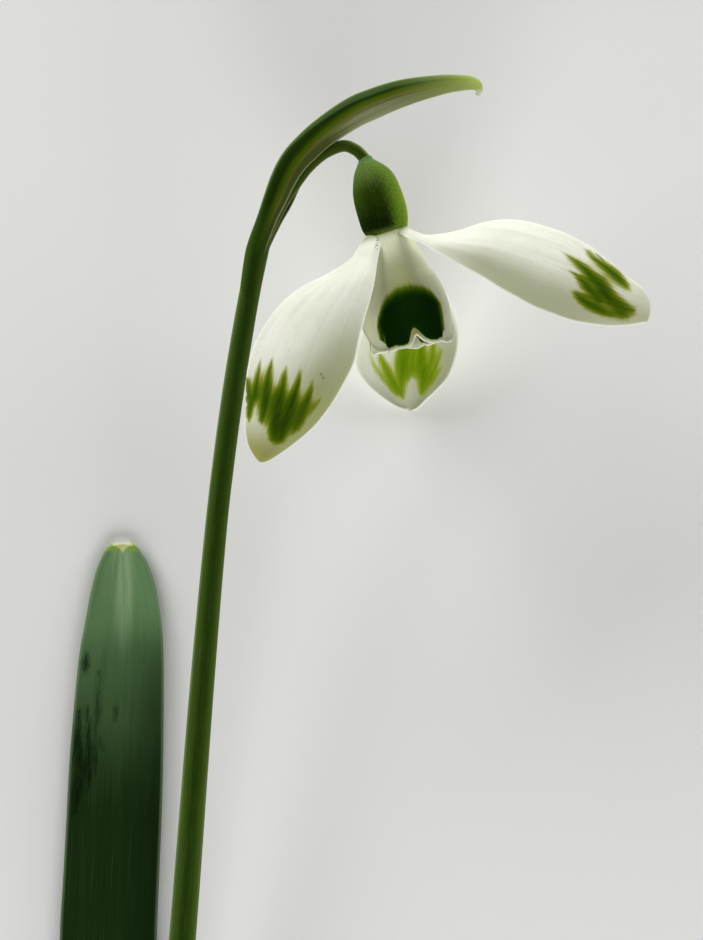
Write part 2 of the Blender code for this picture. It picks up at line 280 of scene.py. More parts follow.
def turned(name, rows, axis, right, front, start, points, columns, section=None):
    """A turned body: rows of height along the axis, radius, and how far its middle stands off to the right.
    At the angle a it stands off its middle by the radius times section(a, height), right cos(a) + front
    sin(a)."""
    values = through(rows, shares(points, 0.75))
    angle = 2 * np.pi * np.arange(columns + 1) / columns
    height, radius, offset = values[:, 0:1], np.maximum(values[:, 1:2], 0.0), values[:, 2:3]
    if section is not None:
        radius = radius * section(angle[None, :], height)
    ring = right * np.cos(angle)[None, :, None] + front * np.sin(angle)[None, :, None]
    middle = start + axis * height[..., None] + right * offset[..., None]
    loops = middle + ring * (radius + 0 * angle[None, :])[..., None]
    around = angle[None, :] * values[:, 1].max()
    uv = np.stack([height + 0 * around, around + 0 * height], axis=-1)
    layers = {
        "side": np.cos(angle)[None, :] + 0 * height,
        "front": np.sin(angle)[None, :] + 0 * height,
        "along": (height - height.min()) / (height.max() - height.min()) + 0 * around,
    }
    return skin(name, loops, uv, layers, "poles")


# ---- Finishes.


def hex_colour(colour):
    """An sRGB hex value as linear red, green, blue and alpha. A linear colour or a node's output stays
    itself."""
    if not isinstance(colour, str):
        return colour
    value = np.array([int(colour[k : k + 2], 16) / 255 for k in (1, 3, 5)])
    linear = np.where(value <= 0.04045, value / 12.92, ((value + 0.055) / 1.055) ** 2.4)
    return (*linear.tolist(), 1.0)


def add(tree, kind, inputs=(), out=0, stops=(), **settings):
    """Adds one node with its settings, sets or links its inputs, sets the stops of its ramp, and gives the
    output that is named. An input is a number, a colour, or another node's output."""
    made = tree.nodes.new("ShaderNode" + kind)
    for key, value in settings.items():
        setattr(made, key, value)
    for key, value in dict(inputs).items():
        if isinstance(value, bpy.types.NodeSocket):
            tree.links.new(value, made.inputs[key])
        else:
            made.inputs[key].default_value = value
    if stops:
        ramp = made.color_ramp.elements
        while len(ramp) < len(stops):
            ramp.new(0.5)
        for element, (place, colour) in zip(ramp, stops):
            element.position = place
            element.color = hex_colour(colour)
    return made.outputs[out]


def tissue(roughness, gloss, share, depth, ior=1.4):
    """The constants of plant tissue, which is watery: its IOR is near that of water. share is how much of the
    light goes in below the skin, and depth how far it spreads there, in millimetres."""
    return {
        "Roughness": roughness,
        "IOR": ior,
        "Specular IOR Level": gloss,
        "Subsurface Weight": share,
        "Subsurface Scale": depth * MM,
    }


def new_finish(name, constants):
    """A material with one Principled shader, whose constant sockets are set here."""
    made = bpy.data.materials.new(name)
    made.use_nodes = True
    shader = made.node_tree.nodes["Principled BSDF"]
    for key, value in constants.items():
        shader.inputs[key].default_value = value
    return made, made.node_tree, shader


def stored(tree, *names):
    """The numbers stored on the skin's points under these names."""
    return [add(tree, "Attribute", out="Fac", attribute_name=name) for name in names]


def fibres(tree, along, across, detail=3.0, seed=0.0):
    """Noise drawn out along the skin: along and across are how many of its grains fit in a millimetre."""
    uv = add(tree, "UVMap", uv_map="skin")
    placed = add(tree, "Mapping", {0: uv, 1: (seed, seed * 1.7, 0.0), 3: (along, across, 1.0)})
    values = {"Vector": placed, "Scale": 1.0, "Detail": detail, "Roughness": 0.55}
    return add(tree, "TexNoise", values, noise_dimensions="2D")


def grains(tree, per_mm, detail=2.0):
    """Even noise in the piece's own space, with so many grains in a millimetre."""
    place = add(tree, "TexCoord", out="Object")
    return add(tree, "TexNoise", {"Vector": place, "Scale": per_mm / MM, "Detail": detail, "Roughness": 0.5})


def coats(tree, ground, layers):
    """A ground colour under coats. A coat is a colour, what it follows, the values of that at which none of
    the coat and the most of it shows, and how much the most is."""
    for colour, follows, none, full, most in layers:
        limits = {0: follows, 1: none, 2: full, 3: 0.0, 4: most}
        cover = add(tree, "MapRange", limits, interpolation_type="SMOOTHSTEP")
        ground = add(tree, "Mix", {0: cover, 6: ground, 7: hex_colour(colour)}, 2, data_type="RGBA")
    return ground


def frayed(tree, value, *noises):
    """value with each noise, less a half, times its amount added."""
    for noise, amount in noises:
        value = add(tree, "Math", {0: noise, 1: amount, 2: value}, operation="MULTIPLY_ADD")
    return add(tree, "Math", {0: value, 1: sum(amount for _, amount in noises) / 2}, operation="SUBTRACT")


def finish_surface(tree, shader, colour, relief_mm, *heights):
    """Links the colour, and a relief of so many millimetres from the sum of the heights, to the shader."""
    total = heights[0]
    for height in heights[1:]:
        total = add(tree, "Math", {0: total, 1: height}, operation="ADD")
    tree.links.new(colour, shader.inputs["Base Color"])
    tree.links.new(add(tree, "Bump", {"Distance": relief_mm * MM, "Height": total}), shader.inputs["Normal"])


def petal_finish(name, settings, white, mark_stops, mark_fibre, fray, vein_share):
    """Snowdrop tepal: a thin matt skin over spongy white tissue. Fine veins 0.4 mm apart run its length,
    between finer rows of cells 0.12 mm wide, on clouds of 3 mm, and grains of 0.2 mm give it relief. The
    green mark takes the colours mark_stops from its edge inwards, with mark_fibre along its cells, and the
    veins and cells shift its edge by fray. The claw is tinged green, and a painted rim light makes the thin
    margin a little brighter. Painted shade, greyer and yellower, lies where a tepal turns away from the
    light; its yellow-green is partly the tepal's own tinge."""
    constants = tissue(roughness=0.62, gloss=0.03, share=0.1, depth=0.25, ior=1.38)
    made, tree, shader = new_finish(name, constants | {"Subsurface Radius": (1.0, 1.0, 0.6)})
    mark, tint, shade, claw, rim, speck = stored(tree, "mark", "tint", "shade", "claw", "rim", "speck")
    vein, fine = fibres(tree, 0.12, 2.4), fibres(tree, 0.4, 8.0, seed=3.0)
    cloud, dots = grains(tree, 0.3), fibres(tree, 2.5, 6.0, seed=9.0)
    edge = frayed(tree, mark, (vein, fray), (fine, fray * 0.6))
    green = coats(tree, add(tree, "ValToRGB", {0: edge}, stops=mark_stops), [
        (mark_fibre, fine, 0.5, 0.72, 0.3),
        # Where the yellow-green tinge and painted shade lie, the mark takes its fibre colour
        (mark_fibre, tint, 0.2, 1.0, 0.7),
    ])
    colour = coats(tree, white, [
        (settings.vein, vein, 0.45, 0.8, vein_share),
        (settings.vein, fine, 0.5, 0.8, vein_share * 0.7),
        (settings.shade, cloud, 0.35, 0.75, 0.15),
        (settings.shade, dots, 0.55, 0.8, 0.2),
        # Painted shade, greyer and yellower, where a tepal turns away from the light; the yellow-green is
        # partly the tepal's own tinge
        (settings.shade, shade, 0.0, 1.0, 1.0),
        (settings.tint, tint, 0.0, 1.0, 1.0),
        (settings.claw, claw, 0.0, 1.0, 1.0),
        # Painted rim light: the thin margin painted brighter
        (settings.rim, rim, 0.0, 1.0, 0.9),
        (green, edge, 0.0, 0.3, 1.0),
        ("#2b2c16", speck, 0.0, 1.0, 0.8),
    ])
    finish_surface(tree, shader, colour, 0.016, vein, grains(tree, 5.0))
    return made


# ---- Sizes and colours that a user would change.


def colour_value(title, text, default):
    """A colour that a user may change, from its sRGB hex value."""
    return bpy.props.FloatVectorProperty(
        name=title, description=text, default=hex_colour(default), size=4, min=0.0, max=1.0, subtype="COLOR"
    )


def power_value(title, text, default):
    """A light's power in watts."""
    return bpy.props.FloatProperty(name=title, description=text, default=default, min=0.0, unit="POWER")


def length_value(title, text, default, high=0.05):
    """A length in metres."""
    return bpy.props.FloatProperty(
        name=title, description=text, default=default, min=0.0, max=high, precision=5, subtype="DISTANCE",
        unit="LENGTH",
    )


class SnowdropPetals(bpy.types.PropertyGroup):
    """Sizes and colours of the tepals."""

    outer_wall: length_value("Outer wall", "Thickness of an outer tepal at its middle", 0.0004)
    inner_wall: length_value("Inner wall", "Thickness of an inner tepal at its middle", 0.0003)
    ridge: length_value("Ridge", "Height of the soft ridges along an outer tepal", 0.000025)
    white: colour_value("White", "Colour of the outer tepals", "#f7f8ea")
    # Inner white: the tepals' white darkened and yellowed by painted shade, as the cup stands in the shade of
    # the outer tepals
    inner_white_with_painted_shade: colour_value("Inner white", "Colour of the inner tepals, which stand in shade", "#e9eccf")
    # Shade: the colour of painted shade where a tepal turns away from the light; faint random grey mottling
    # takes it too
    shade: colour_value("Shade", "Greyer patches, where a tepal turns away", "#adb289")
    # Tint: partly the tepals' own yellow-green tinge, partly painted shade over their lower parts, their tips
    # and the middle of the cup
    tint: colour_value("Tint", "Yellow-green tinge of the thicker parts", "#9a9b52")
    vein: colour_value("Vein", "Colour along the veins", "#d9dec0")
    claw: colour_value("Claw", "Colour where a tepal leaves the ovary", "#8a9c4c")
    # Rim: a painted rim light, the thin margin painted brighter
    rim: colour_value("Rim", "Colour of the thin margin", "#fdfef4")


class SnowdropGreens(bpy.types.PropertyGroup):
    """Colours of the ovary, spathe and leaf."""

    ovary: colour_value("Ovary", "Skin of the ovary", "#253805")
    bloom: colour_value("Bloom", "Waxy bloom on the ovary", "#6d8a3c")
    keel: colour_value("Keel", "Dark band of the spathe", "#192b04")
    membrane: colour_value("Membrane", "Papery side of the spathe", "#6c733c")
    leaf: colour_value("Leaf", "Skin of the leaf", "#4d6b43")
    leaf_tip: colour_value("Leaf tip", "Crest of the leaf's hooded tip", "#dde0d2")


class SnowdropStage(bpy.types.PropertyGroup):
    """The camera, the lights and the floor."""

    distance: length_value("Distance", "From the flower's heart to the camera", 0.65, 5.0)
    view: length_value("View", "Height of the view at the flower's heart", 0.094, 1.0)
    key: power_value("Key", "Power of the low light from the upper left", 2.7)
    second: power_value("Second", "Power of the low light from the upper right", 2.0)
    fill: power_value("Fill", "Power of the low light from below the flower", 2.3)
    floor: colour_value("Floor", "Colour of the floor", "#f4f4f2")


# ---- Outer tepals. Each is spanned by two margins, with the height of its middle between them.

MARK_EDGE = 0.35  # where a green mark has faded half away

# Rows from claw to tip: x, y and height of one margin, x, y and height of the other, height of the middle.
LEFT_TEPAL = [
    (-1.0, 0.9, 16.6, -1.9, 0.6, 16.3, 16.6),
    (-1.12, 0.1, 17.2, -2.35, -0.2, 16.7, 17.3),
    (-1.15, -1.2, 18.6, -3.05, -1.2, 17.8, 18.9),
    (-1.5, -3.1, 20.4, -4.2, -2.85, 18.8, 20.65),
    (-1.75, -4.95, 22.2, -6.6, -4.4, 19.7, 22.55),
    (-2.15, -6.75, 23.0, -8.9, -5.55, 20.0, 23.4),
    (-2.75, -8.75, 23.4, -10.9, -7.1, 20.0, 23.9),
    (-3.25, -10.75, 23.6, -12.55, -9.25, 19.9, 24.15),
    (-3.75, -13.1, 23.5, -13.75, -11.45, 19.8, 24.15),
    (-4.7, -15.1, 23.3, -14.4, -13.85, 19.7, 23.9),
    (-6.0, -17.3, 22.9, -14.55, -16.0, 19.6, 23.45),
    (-7.6, -19.35, 22.4, -14.6, -17.9, 19.7, 22.95),
    (-9.4, -20.95, 22.0, -14.65, -19.6, 19.9, 22.45),
    (-11.05, -22.15, 21.7, -14.35, -21.2, 20.3, 22.1),
    (-12.1, -22.75, 21.4, -13.7, -22.35, 20.8, 21.8),
    (-12.85, -22.95, 21.35, -13.15, -22.9, 21.2, 21.38),
]
RIGHT_TEPAL = [
    (0.9, 1.4, 16.8, -0.2, 1.0, 17.1, 17.0),
    (1.25, 0.75, 17.0, 0.25, 0.4, 17.5, 17.3),
    (1.65, 0.3, 17.9, 0.75, -0.2, 18.7, 18.4),
    (2.45, -0.15, 18.9, 1.75, -0.75, 19.7, 19.4),
    (3.5, -0.45, 19.2, 3.0, -1.3, 20.4, 20.0),
    (5.05, -0.3, 19.3, 4.25, -2.1, 21.6, 21.25),
    (6.75, 0.05, 19.4, 5.7, -2.9, 22.3, 22.05),
    (8.35, 0.6, 19.5, 7.3, -3.8, 22.9, 22.7),
    (10.05, 1.0, 19.7, 8.95, -4.7, 23.3, 23.2),
    (11.9, 1.1, 19.8, 10.65, -5.8, 23.5, 23.45),
    (13.7, 0.85, 19.8, 12.35, -6.75, 23.6, 23.5),
    (15.5, 0.35, 19.8, 14.0, -7.65, 23.4, 23.4),
    (17.3, -0.3, 19.8, 15.8, -8.35, 23.1, 23.15),
    (19.0, -1.15, 19.8, 17.7, -9.0, 22.7, 22.85),
    (20.7, -2.25, 19.9, 19.6, -9.35, 22.3, 22.6),
    (22.15, -3.5, 20.1, 21.4, -9.55, 21.9, 22.3),
    (23.65, -4.8, 20.4, 23.0, -9.5, 21.7, 22.05),
    (24.85, -5.8, 20.8, 24.4, -9.3, 21.5, 21.85),
    (25.7, -7.3, 21.2, 25.45, -9.2, 21.4, 21.7),
]
BACK_TEPAL = [
    (0.1, -0.4, 14.3, -0.5, -0.5, 14.3, 14.1),
    (0.75, -1.55, 13.0, -0.65, -1.65, 13.0, 12.4),
    (1.65, -2.45, 11.9, -0.85, -2.95, 11.9, 10.9),
    (2.95, -3.2, 10.8, -1.15, -4.1, 10.8, 9.3),
    (4.35, -4.35, 9.8, -1.6, -5.4, 9.8, 7.7),
    (5.45, -5.8, 8.6, -2.15, -6.9, 8.6, 6.2),
    (6.3, -7.35, 7.4, -2.65, -8.45, 7.4, 4.9),
    (6.8, -9.05, 6.2, -3.15, -10.0, 6.2, 3.7),
    (6.9, -10.85, 5.0, -3.55, -11.5, 5.0, 2.7),
    (6.55, -12.7, 3.9, -3.7, -12.95, 3.9, 1.9),
    (5.85, -14.35, 3.0, -3.2, -14.15, 3.0, 1.35),
    (4.8, -15.55, 2.3, -2.15, -15.4, 2.3, 1.0),
    (3.75, -16.55, 1.7, -0.7, -16.6, 1.7, 0.8),
    (2.85, -17.45, 1.2, 0.65, -17.4, 1.2, 0.7),
    (2.35, -17.7, 0.9, 1.75, -17.65, 0.9, 0.75),
]

# Green streaks, each a run of x, y and half width along its middle from the claw's side to the tip's. Where
# the half width is below zero, only the fringe of the streak shows.
LEFT_STREAKS = [
    [(-14.31, -14.9, 0.0), (-14.22, -15.6, 0.1), (-14.13, -16.5, 0.12)],
    [(-12.78, -12.1, -0.44), (-13.03, -13.0, -0.14), (-13.17, -13.9, 0.05), (-13.28, -14.8, 0.21),
     (-13.38, -15.7, 0.39), (-13.51, -16.4, 0.45), (-13.82, -16.95, 0.37), (-14.01, -17.55, 0.27),
     (-14.13, -18.4, 0.15), (-14.14, -18.95, -0.1)],
    [(-11.68, -12.1, -0.44), (-11.86, -13.0, -0.09), (-11.98, -13.7, 0.11), (-12.13, -14.4, 0.23),
     (-12.24, -15.1, 0.37), (-12.33, -15.9, 0.51), (-12.4, -16.8, 0.57), (-12.51, -17.5, 0.53),
     (-12.63, -18.2, 0.39), (-12.76, -18.8, 0.22), (-12.85, -19.3, -0.1)],
    [(-10.23, -12.7, -0.49), (-10.43, -13.75, -0.09), (-10.61, -14.5, 0.12), (-10.75, -15.4, 0.27),
     (-10.95, -16.1, 0.47), (-11.11, -16.8, 0.65), (-11.23, -17.6, 0.73), (-11.31, -18.4, 0.75),
     (-11.47, -19.3, 0.69), (-11.57, -20.0, 0.57), (-11.67, -20.6, 0.39), (-11.8, -21.2, -0.15)],
    [(-8.82, -13.0, -0.49), (-9.12, -14.1, -0.09), (-9.29, -15.0, 0.13), (-9.47, -15.8, 0.29),
     (-9.69, -16.5, 0.47), (-9.92, -17.2, 0.63), (-10.12, -17.9, 0.71), (-10.4, -18.6, 0.71),
     (-10.65, -19.3, 0.67), (-10.9, -19.9, 0.59), (-11.1, -20.5, 0.43), (-11.3, -21.0, -0.05)],
    [(-7.66, -14.1, -0.44), (-7.91, -15.1, -0.08), (-8.11, -15.9, 0.12), (-8.36, -16.7, 0.27),
     (-8.64, -17.4, 0.41), (-8.96, -18.1, 0.47), (-9.26, -18.8, 0.45), (-9.56, -19.4, 0.35),
     (-9.86, -20.05, -0.05)],
    [(-6.9, -16.2, -0.3), (-7.3, -16.85, -0.05), (-7.8, -17.45, 0.0), (-8.2, -18.1, -0.15)],
]
RIGHT_STREAKS = [
    [(16.6, -2.1, -0.45), (17.5, -2.8, -0.06), (18.3, -3.35, 0.13), (19.1, -4.0, 0.26), (19.75, -4.8, 0.45),
     (20.5, -5.45, 0.62), (20.9, -6.2, 0.74), (21.6, -6.95, 0.62), (22.4, -7.5, 0.52), (23.05, -7.85, 0.4),
     (23.7, -8.0, 0.15), (24.05, -8.15, -0.15)],
    [(22.3, -7.9, 0.35), (22.75, -8.25, 0.25), (23.2, -8.5, -0.05)],
    [(17.4, -4.1, -0.35), (18.1, -4.6, -0.05), (18.55, -4.95, 0.17), (19.1, -5.45, 0.35),
     (19.75, -6.25, 0.42), (20.4, -6.95, 0.4)],
    [(17.6, -6.1, -0.3), (18.2, -6.45, 0.12), (18.75, -6.9, 0.35), (19.4, -7.35, 0.4), (20.1, -7.7, 0.37),
     (20.85, -8.05, 0.3), (21.6, -8.33, 0.1), (22.0, -8.45, -0.12)],
    [(18.9, -1.85, -0.4), (19.45, -2.3, -0.05), (20.0, -2.9, 0.08), (20.75, -3.5, 0.22),
     (21.5, -4.05, 0.35), (22.15, -4.6, 0.42), (22.7, -5.15, 0.3), (23.15, -5.65, 0.1),
     (23.6, -6.1, -0.25)],
]
BACK_STREAKS = [
    [(1.3, -8.6, -0.15), (1.35, -9.8, 0.4), (1.35, -11.2, 0.7), (1.35, -12.0, 0.75), (1.25, -12.8, 0.78),
     (1.25, -13.6, 0.72), (1.2, -14.1, 0.55), (1.1, -14.6, 0.35), (1.1, -15.2, 0.2), (1.15, -15.85, 0.05),
     (1.2, -16.3, -0.2)],
    [(-1.25, -11.5, -0.25), (-1.09, -12.3, 0.05), (-0.72, -13.05, 0.2), (-0.26, -13.95, 0.26),
     (0.25, -14.85, 0.34), (0.75, -15.75, 0.25), (1.1, -16.2, 0.0), (1.3, -16.5, -0.3)],
    [(2.95, -8.9, -0.15), (3.05, -10.0, 0.25), (3.05, -11.4, 0.45), (3.1, -12.8, 0.62), (3.3, -13.55, 0.7),
     (3.4, -14.1, 0.6), (3.4, -14.6, 0.45), (3.3, -15.25, 0.3), (3.22, -15.85, 0.12), (3.15, -16.25, -0.2)],
    [(2.2, -10.2, -0.2), (2.25, -11.4, 0.3), (2.25, -13.5, 0.3), (2.25, -14.0, 0.05)],
    [(4.4, -9.9, -0.15), (4.35, -11.1, 0.15), (4.28, -12.2, 0.22), (4.1, -12.9, 0.22), (3.8, -13.8, 0.22)],
    [(5.25, -11.5, -0.1), (4.9, -12.5, 0.0), (4.55, -13.45, 0.05), (4.0, -14.45, 0.08)],
    [(5.45, -13.1, -0.25), (4.9, -13.7, -0.08), (4.4, -14.35, 0.02), (3.9, -14.97, 0.05),
     (3.5, -15.6, -0.05)],
    [(-2.3, -11.7, -0.25), (-1.86, -12.95, -0.12), (-1.35, -13.6, -0.12), (-0.5, -14.6, -0.12),
     (0.1, -15.6, -0.2)],
    [(-1.6, -13.6, -0.25), (-1.0, -14.4, -0.12), (-0.2, -15.2, -0.12), (0.5, -16.0, -0.25)],
]

# Dark scratches and specks: x, y and half width along each.
LEFT_SPECKS = [
    [(-7.15, -14.2, 0.04), (-7.05, -14.28, 0.04)],
    [(-6.92, -14.4, 0.04), (-6.85, -14.45, 0.04)],
    [(-7.2, -14.5, 0.02), (-7.05, -14.58, 0.04)],
    [(-6.9, -14.7, 0.02), (-6.75, -14.62, 0.03)],
    [(-6.15, -16.05, 0.05), (-6.1, -16.1, 0.05)],
    [(-6.05, -17.4, 0.05), (-6.0, -17.45, 0.05)],
    [(-1.55, -0.8, 0.0), (-1.42, -0.84, 0.02)],
    [(-1.62, -1.02, 0.01), (-1.42, -1.0, 0.015)],
    [(-1.6, -1.27, 0.0), (-1.52, -1.3, 0.03)],
    [(-1.74, -1.5, 0.0), (-1.5, -1.53, 0.015)],
    [(-1.8, -1.8, 0.01), (-1.72, -1.8, 0.02)],
    [(-1.62, -1.84, 0.0), (-1.55, -1.86, 0.025)],
]
RIGHT_SPECKS = [[(20.2, -2.35, 0.02), (20.63, -2.72, 0.035), (21.05, -3.2, 0.015)]]


def spanned(rows, ridge, ridges, nicks=()):
    """The sheet between two margins: at x from -1 to 1 it is their middle plus x times half the step from
    one to the other, raised by the share 1 - x^2 of the middle's height over the margins. ridges soft
    waves, cos(pi ridges x), of the height ridge run along it, and fade out at the claw, the tip and the
    margins. A nick is a share of the length, its margin (1 or -1), its depth as a share of the half width,
    and its length."""

    def sheet(u, x):
        values = through(rows, u)
        first, second, top = values[..., 0:3], values[..., 3:6], values[..., 6]
        for place, margin, depth, long in nicks:
            x = x * (1 - depth * bell(u - place, long) * np.clip(margin * x, 0, 1) ** 5)
        x_wide = x[..., None]
        point = (first + second) / 2 + x_wide * (first - second) / 2
        point[..., 2] += (top - (first[..., 2] + second[..., 2]) / 2) * (1 - x**2)
        window = smooth(u, 0.15, 0.45) * smooth(1 - u, 0.08, 0.3) * (1 - x**2)
        point[..., 2] += ridge * np.cos(math.pi * ridges * x) * window
        return point

    return sheet


def rounded_tip(start):
    """How far across a blade reaches: all the way, and then a quarter ellipse from the share start to the
    tip."""

    def spread(u):
        end = np.clip((u - start) / (1 - start), 0.0, 0.9995)
        return np.sqrt(1 - end**2)

    return spread


def streak_depth(points, streaks, merge):
    """How deep each point lies in the streaks, in millimetres. Along a streak's middle the half width runs
    straight from knot to knot, and its depth is that half width less the distance from the middle. Streaks
    join softly: the depth is merge times the logarithm of the sum of exp(depth / merge)."""
    place = points[..., :2]
    total = np.zeros(place.shape[:-1])
    for streak in streaks:
        deepest = np.full(place.shape[:-1], -3.0)
        for (x0, y0, w0), (x1, y1, w1) in zip(streak[:-1], streak[1:]):
            step = np.array([x1 - x0, y1 - y0])
            t = np.clip(((place - (x0, y0)) @ step) / (step @ step), 0.0, 1.0)
            away = np.linalg.norm(place - (x0, y0) - t[..., None] * step, axis=-1)
            deepest = np.maximum(deepest, w0 + (w1 - w0) * t - away)
        total += np.exp(deepest / merge)
    return merge * np.log(total + 1e-12)


def tepal_marks(rows, streaks, specks, soft, merge, shading):
    """The layers of an outer tepal. mark is MARK_EDGE on the streaks' edge and grows by one in the length
    soft inwards, rim is a painted rim light that falls off inwards from the margin, claw fades over the first
    sixth, speck is on short dark scratches, and shading(u, x) is how much of the greyer painted shade there
    is, and how much of the yellow-green, which is partly the tepal's own tinge and partly painted shade."""

    def layers(u, x, points, side):
        values = through(rows, u)
        half = np.linalg.norm(values[..., 0:3] - values[..., 3:6], axis=-1) / 2
        scratch = smooth(streak_depth(points, specks, 0.03), -0.07, 0.02) if specks else 0 * x
        shade, tint = shading(u, x)
        return {
            "mark": np.clip(MARK_EDGE + streak_depth(points, streaks, merge) / soft, -0.5, 1.5),
            # Painted rim light along the thin margin
            "rim": bell((1 - np.abs(x)) * half, 0.2) * smooth(u, 0.1, 0.16),
            "claw": 0.6 * (1 - smooth(u + 0.012 * x, 0.1, 0.16)),
            "speck": scratch * (side > 0),
            # Painted shade, grey and yellow-green; the yellow-green is partly the tepal's own tinge
            "shade": shade,
            "tint": tint,
        }

    return layers


def left_shading(u, x):
    """Painted shade: greyer over the half that turns away from the light and over the lower part, between the
    streaks, and yellower on the lower part of that half. It is yellower over the last quarter too, partly
    the tepal's own tinge and partly painted shade."""
    away = 0.9 * smooth(x, -0.6, 0.9) * smooth(u, 0.25, 0.6)
    lower = 0.5 * smooth(u, 0.5, 0.66)
    tip = 0.95 * smooth(u, 0.7, 0.92) * (1 - 0.2 * smooth(x, -0.3, 0.6))
    flank = 0.5 * smooth(u, 0.5, 0.7) * smooth(x, 0.0, 0.6)
    return away + lower * (1 - away), np.maximum(tip, flank)


def right_shading(u, x):
    """Painted shade, greyer and yellower, along the middle of its lower half, and a little yellower towards
    the tip, partly its own tinge and partly painted shade.
    """
    shade = 0.7 * smooth(-x, -0.4, 0.6) * smooth(u, 0.2, 0.45)
    return shade * (1 - 0.7 * smooth(u, 0.7, 0.9)), 0.15 * shade + 0.4 * smooth(u, 0.6, 0.95)


def back_shading(u, x):
    """Painted shade: a little greyer all over, greyer on the right of its lower half, and yellower there; and
    yellower at the tip, partly its own tinge and partly painted shade.
    """
    lower = smooth(u, 0.42, 0.6)
    return 0.2 + 0.45 * smooth(x, -0.2, 1.0) * lower, 0.22 * lower + 0.4 * smooth(u, 0.75, 1.0)


OUTER_TEPALS = {
    # margins, streaks, specks, shading, how much of the ridges it has, over what length a streak darkens, how
    # softly streaks join, and nicks in its margins
    "outer_tepal_left": (
        LEFT_TEPAL, LEFT_STREAKS, LEFT_SPECKS, left_shading, 1.0, 1.2, 0.26,
        [(0.71, -1, 0.05, 0.008), (0.675, -1, 0.03, 0.006)],
    ),
    "outer_tepal_right": (
        RIGHT_TEPAL, RIGHT_STREAKS, RIGHT_SPECKS, right_shading, 1.0, 1.6, 0.26,
        [(0.778, 1, 0.05, 0.012), (0.81, 1, 0.05, 0.01), (0.868, 1, 0.06, 0.014), (0.967, -1, 0.08, 0.008)],
    ),
    "outer_tepal_back": (BACK_TEPAL, BACK_STREAKS, [], back_shading, 0.6, 1.6, 0.16, []),
}
OUTSIDE_STOPS = [(0.0, "#d3d6a6"), (0.14, "#b6ba74"), (0.27, "#8b9434"), (0.38, "#647613"), (0.5, "#446104"),
                 (0.65, "#365203"), (0.8, "#294203")]
INSIDE_STOPS = [(0.0, "#dbdfa8"), (0.15, "#c3cc74"), (0.28, "#a2b23a"), (0.42, "#83a010"), (0.58, "#6f9402"),
                (0.9, "#5c8202")]


class SNOWDROP_OT_outer_tepals(bpy.types.Operator):
    """Grow the three outer tepals, with their green streaks"""

    bl_idname = "snowdrop.outer_tepals"
    bl_label = "Outer tepals"

    def execute(self, context):
        settings = context.scene.snowdrop_petals
        white = settings.white
        outside = petal_finish("outer_tepal_skin", settings, white, OUTSIDE_STOPS, "#6c7c14", 0.25, 0.3)
        inside = petal_finish("outer_tepal_inside_skin", settings, white, INSIDE_STOPS, "#9cb432", 0.25, 0.25)
        for name, (rows, streaks, specks, shading, relief, soft, merge, nicks) in OUTER_TEPALS.items():
            mesh = blade(
                name, spanned(rows, ridge=relief * settings.ridge / MM, ridges=6, nicks=nicks),
                rounded_tip(start=0.975), shares(230), columns=220, wall=settings.outer_wall / MM,
                marks=tepal_marks(rows, streaks, specks, soft, merge, shading),
            )
            plant(name + "_skin", mesh, name, inside if name.endswith("back") else outside)
        return {"FINISHED"}


# ---- Inner tepals. Each is a sector of the cup, whose margins lie outside or inside its neighbours.

CUP_ROWS = [  # distance from the heart along the cup, radius
    (0.0, 1.85),
    (1.3, 2.3),
    (2.6, 2.64),
    (3.9, 3.04),
    (5.2, 3.66),
    (6.5, 4.08),
    (7.8, 4.3),
    (9.1, 4.32),
    (10.4, 4.25),
    (11.7, 4.2),
]
INNER_TEPALS = {
    # turn, half angle, steps outwards at the left and right margins, size of the radius, how far the left
    # and right corners are cut back, and how many degrees from the middle the mark reaches
    "inner_tepal_front": (10.0, 76.0, (0.33, 0.33), 1.0, (3.2, 1.9), 46.0),
    "inner_tepal_right": (126.0, 68.0, (-0.33, 0.33), 0.98, (3.2, 1.9), 42.0),
    "inner_tepal_left": (246.0, 66.0, (-0.3, -0.3), 0.88, (3.2, 0.2), 34.0),
}
CUP_START, CUP_LENGTH = -0.35, 11.75
LIP_RADIUS, BELLY_RADIUS = CUP_ROWS[-1][1], CUP_ROWS[6][1]
NOTCH_PLACE, NOTCH_DEPTH = 0.018, 1.15
LIP_TEARS = ((-0.52, 0.02), (-0.43, 0.015), (-0.36, 0.02), (0.47, 0.02), (0.53, 0.015))  # place across, width
LIP_MARGIN = 0.34  # white rim between the mark and the lip
CROWN_PLACE, CROWN_HALF = 5.95, 46.0  # top of the mark along the cup, and half of its width in degrees
CUP_STOPS = [(0.0, "#c3c78e"), (0.12, "#a3ad56"), (0.24, "#73851e"), (0.36, "#4a6209"), (0.48, "#254206"),
             (0.6, "#103003"), (0.75, "#0b2602")]


def lip_length(x, corners):
    """Length of an inner tepal at x from -1 to 1: corners cut back by the second power of the way out on
    the left and by the fourth on the right, a cusp of a notch, exp(-|x / width|^1.3), near the middle, and
    a wavy, slightly torn lip between them."""
    notch_width = np.where(x < NOTCH_PLACE, 0.075, 0.12)
    notch = NOTCH_DEPTH * np.exp(-((np.abs(x - NOTCH_PLACE) / notch_width) ** 1.3))
    left = corners[0] * np.clip((-x - 0.66) / 0.34, 0, 1) ** 2
    right = corners[1] * np.clip((x - 0.62) / 0.38, 0, 1) ** 4
    wave = 0.05 * np.sin(11 * x + 0.6) + 0.03 * np.sin(23 * x)
    for place, width in LIP_TEARS:
        wave = wave - 0.13 * bell(x - place, width)
    return CUP_LENGTH - notch - (left + right) + wave * (1 - bell(x, 0.2))


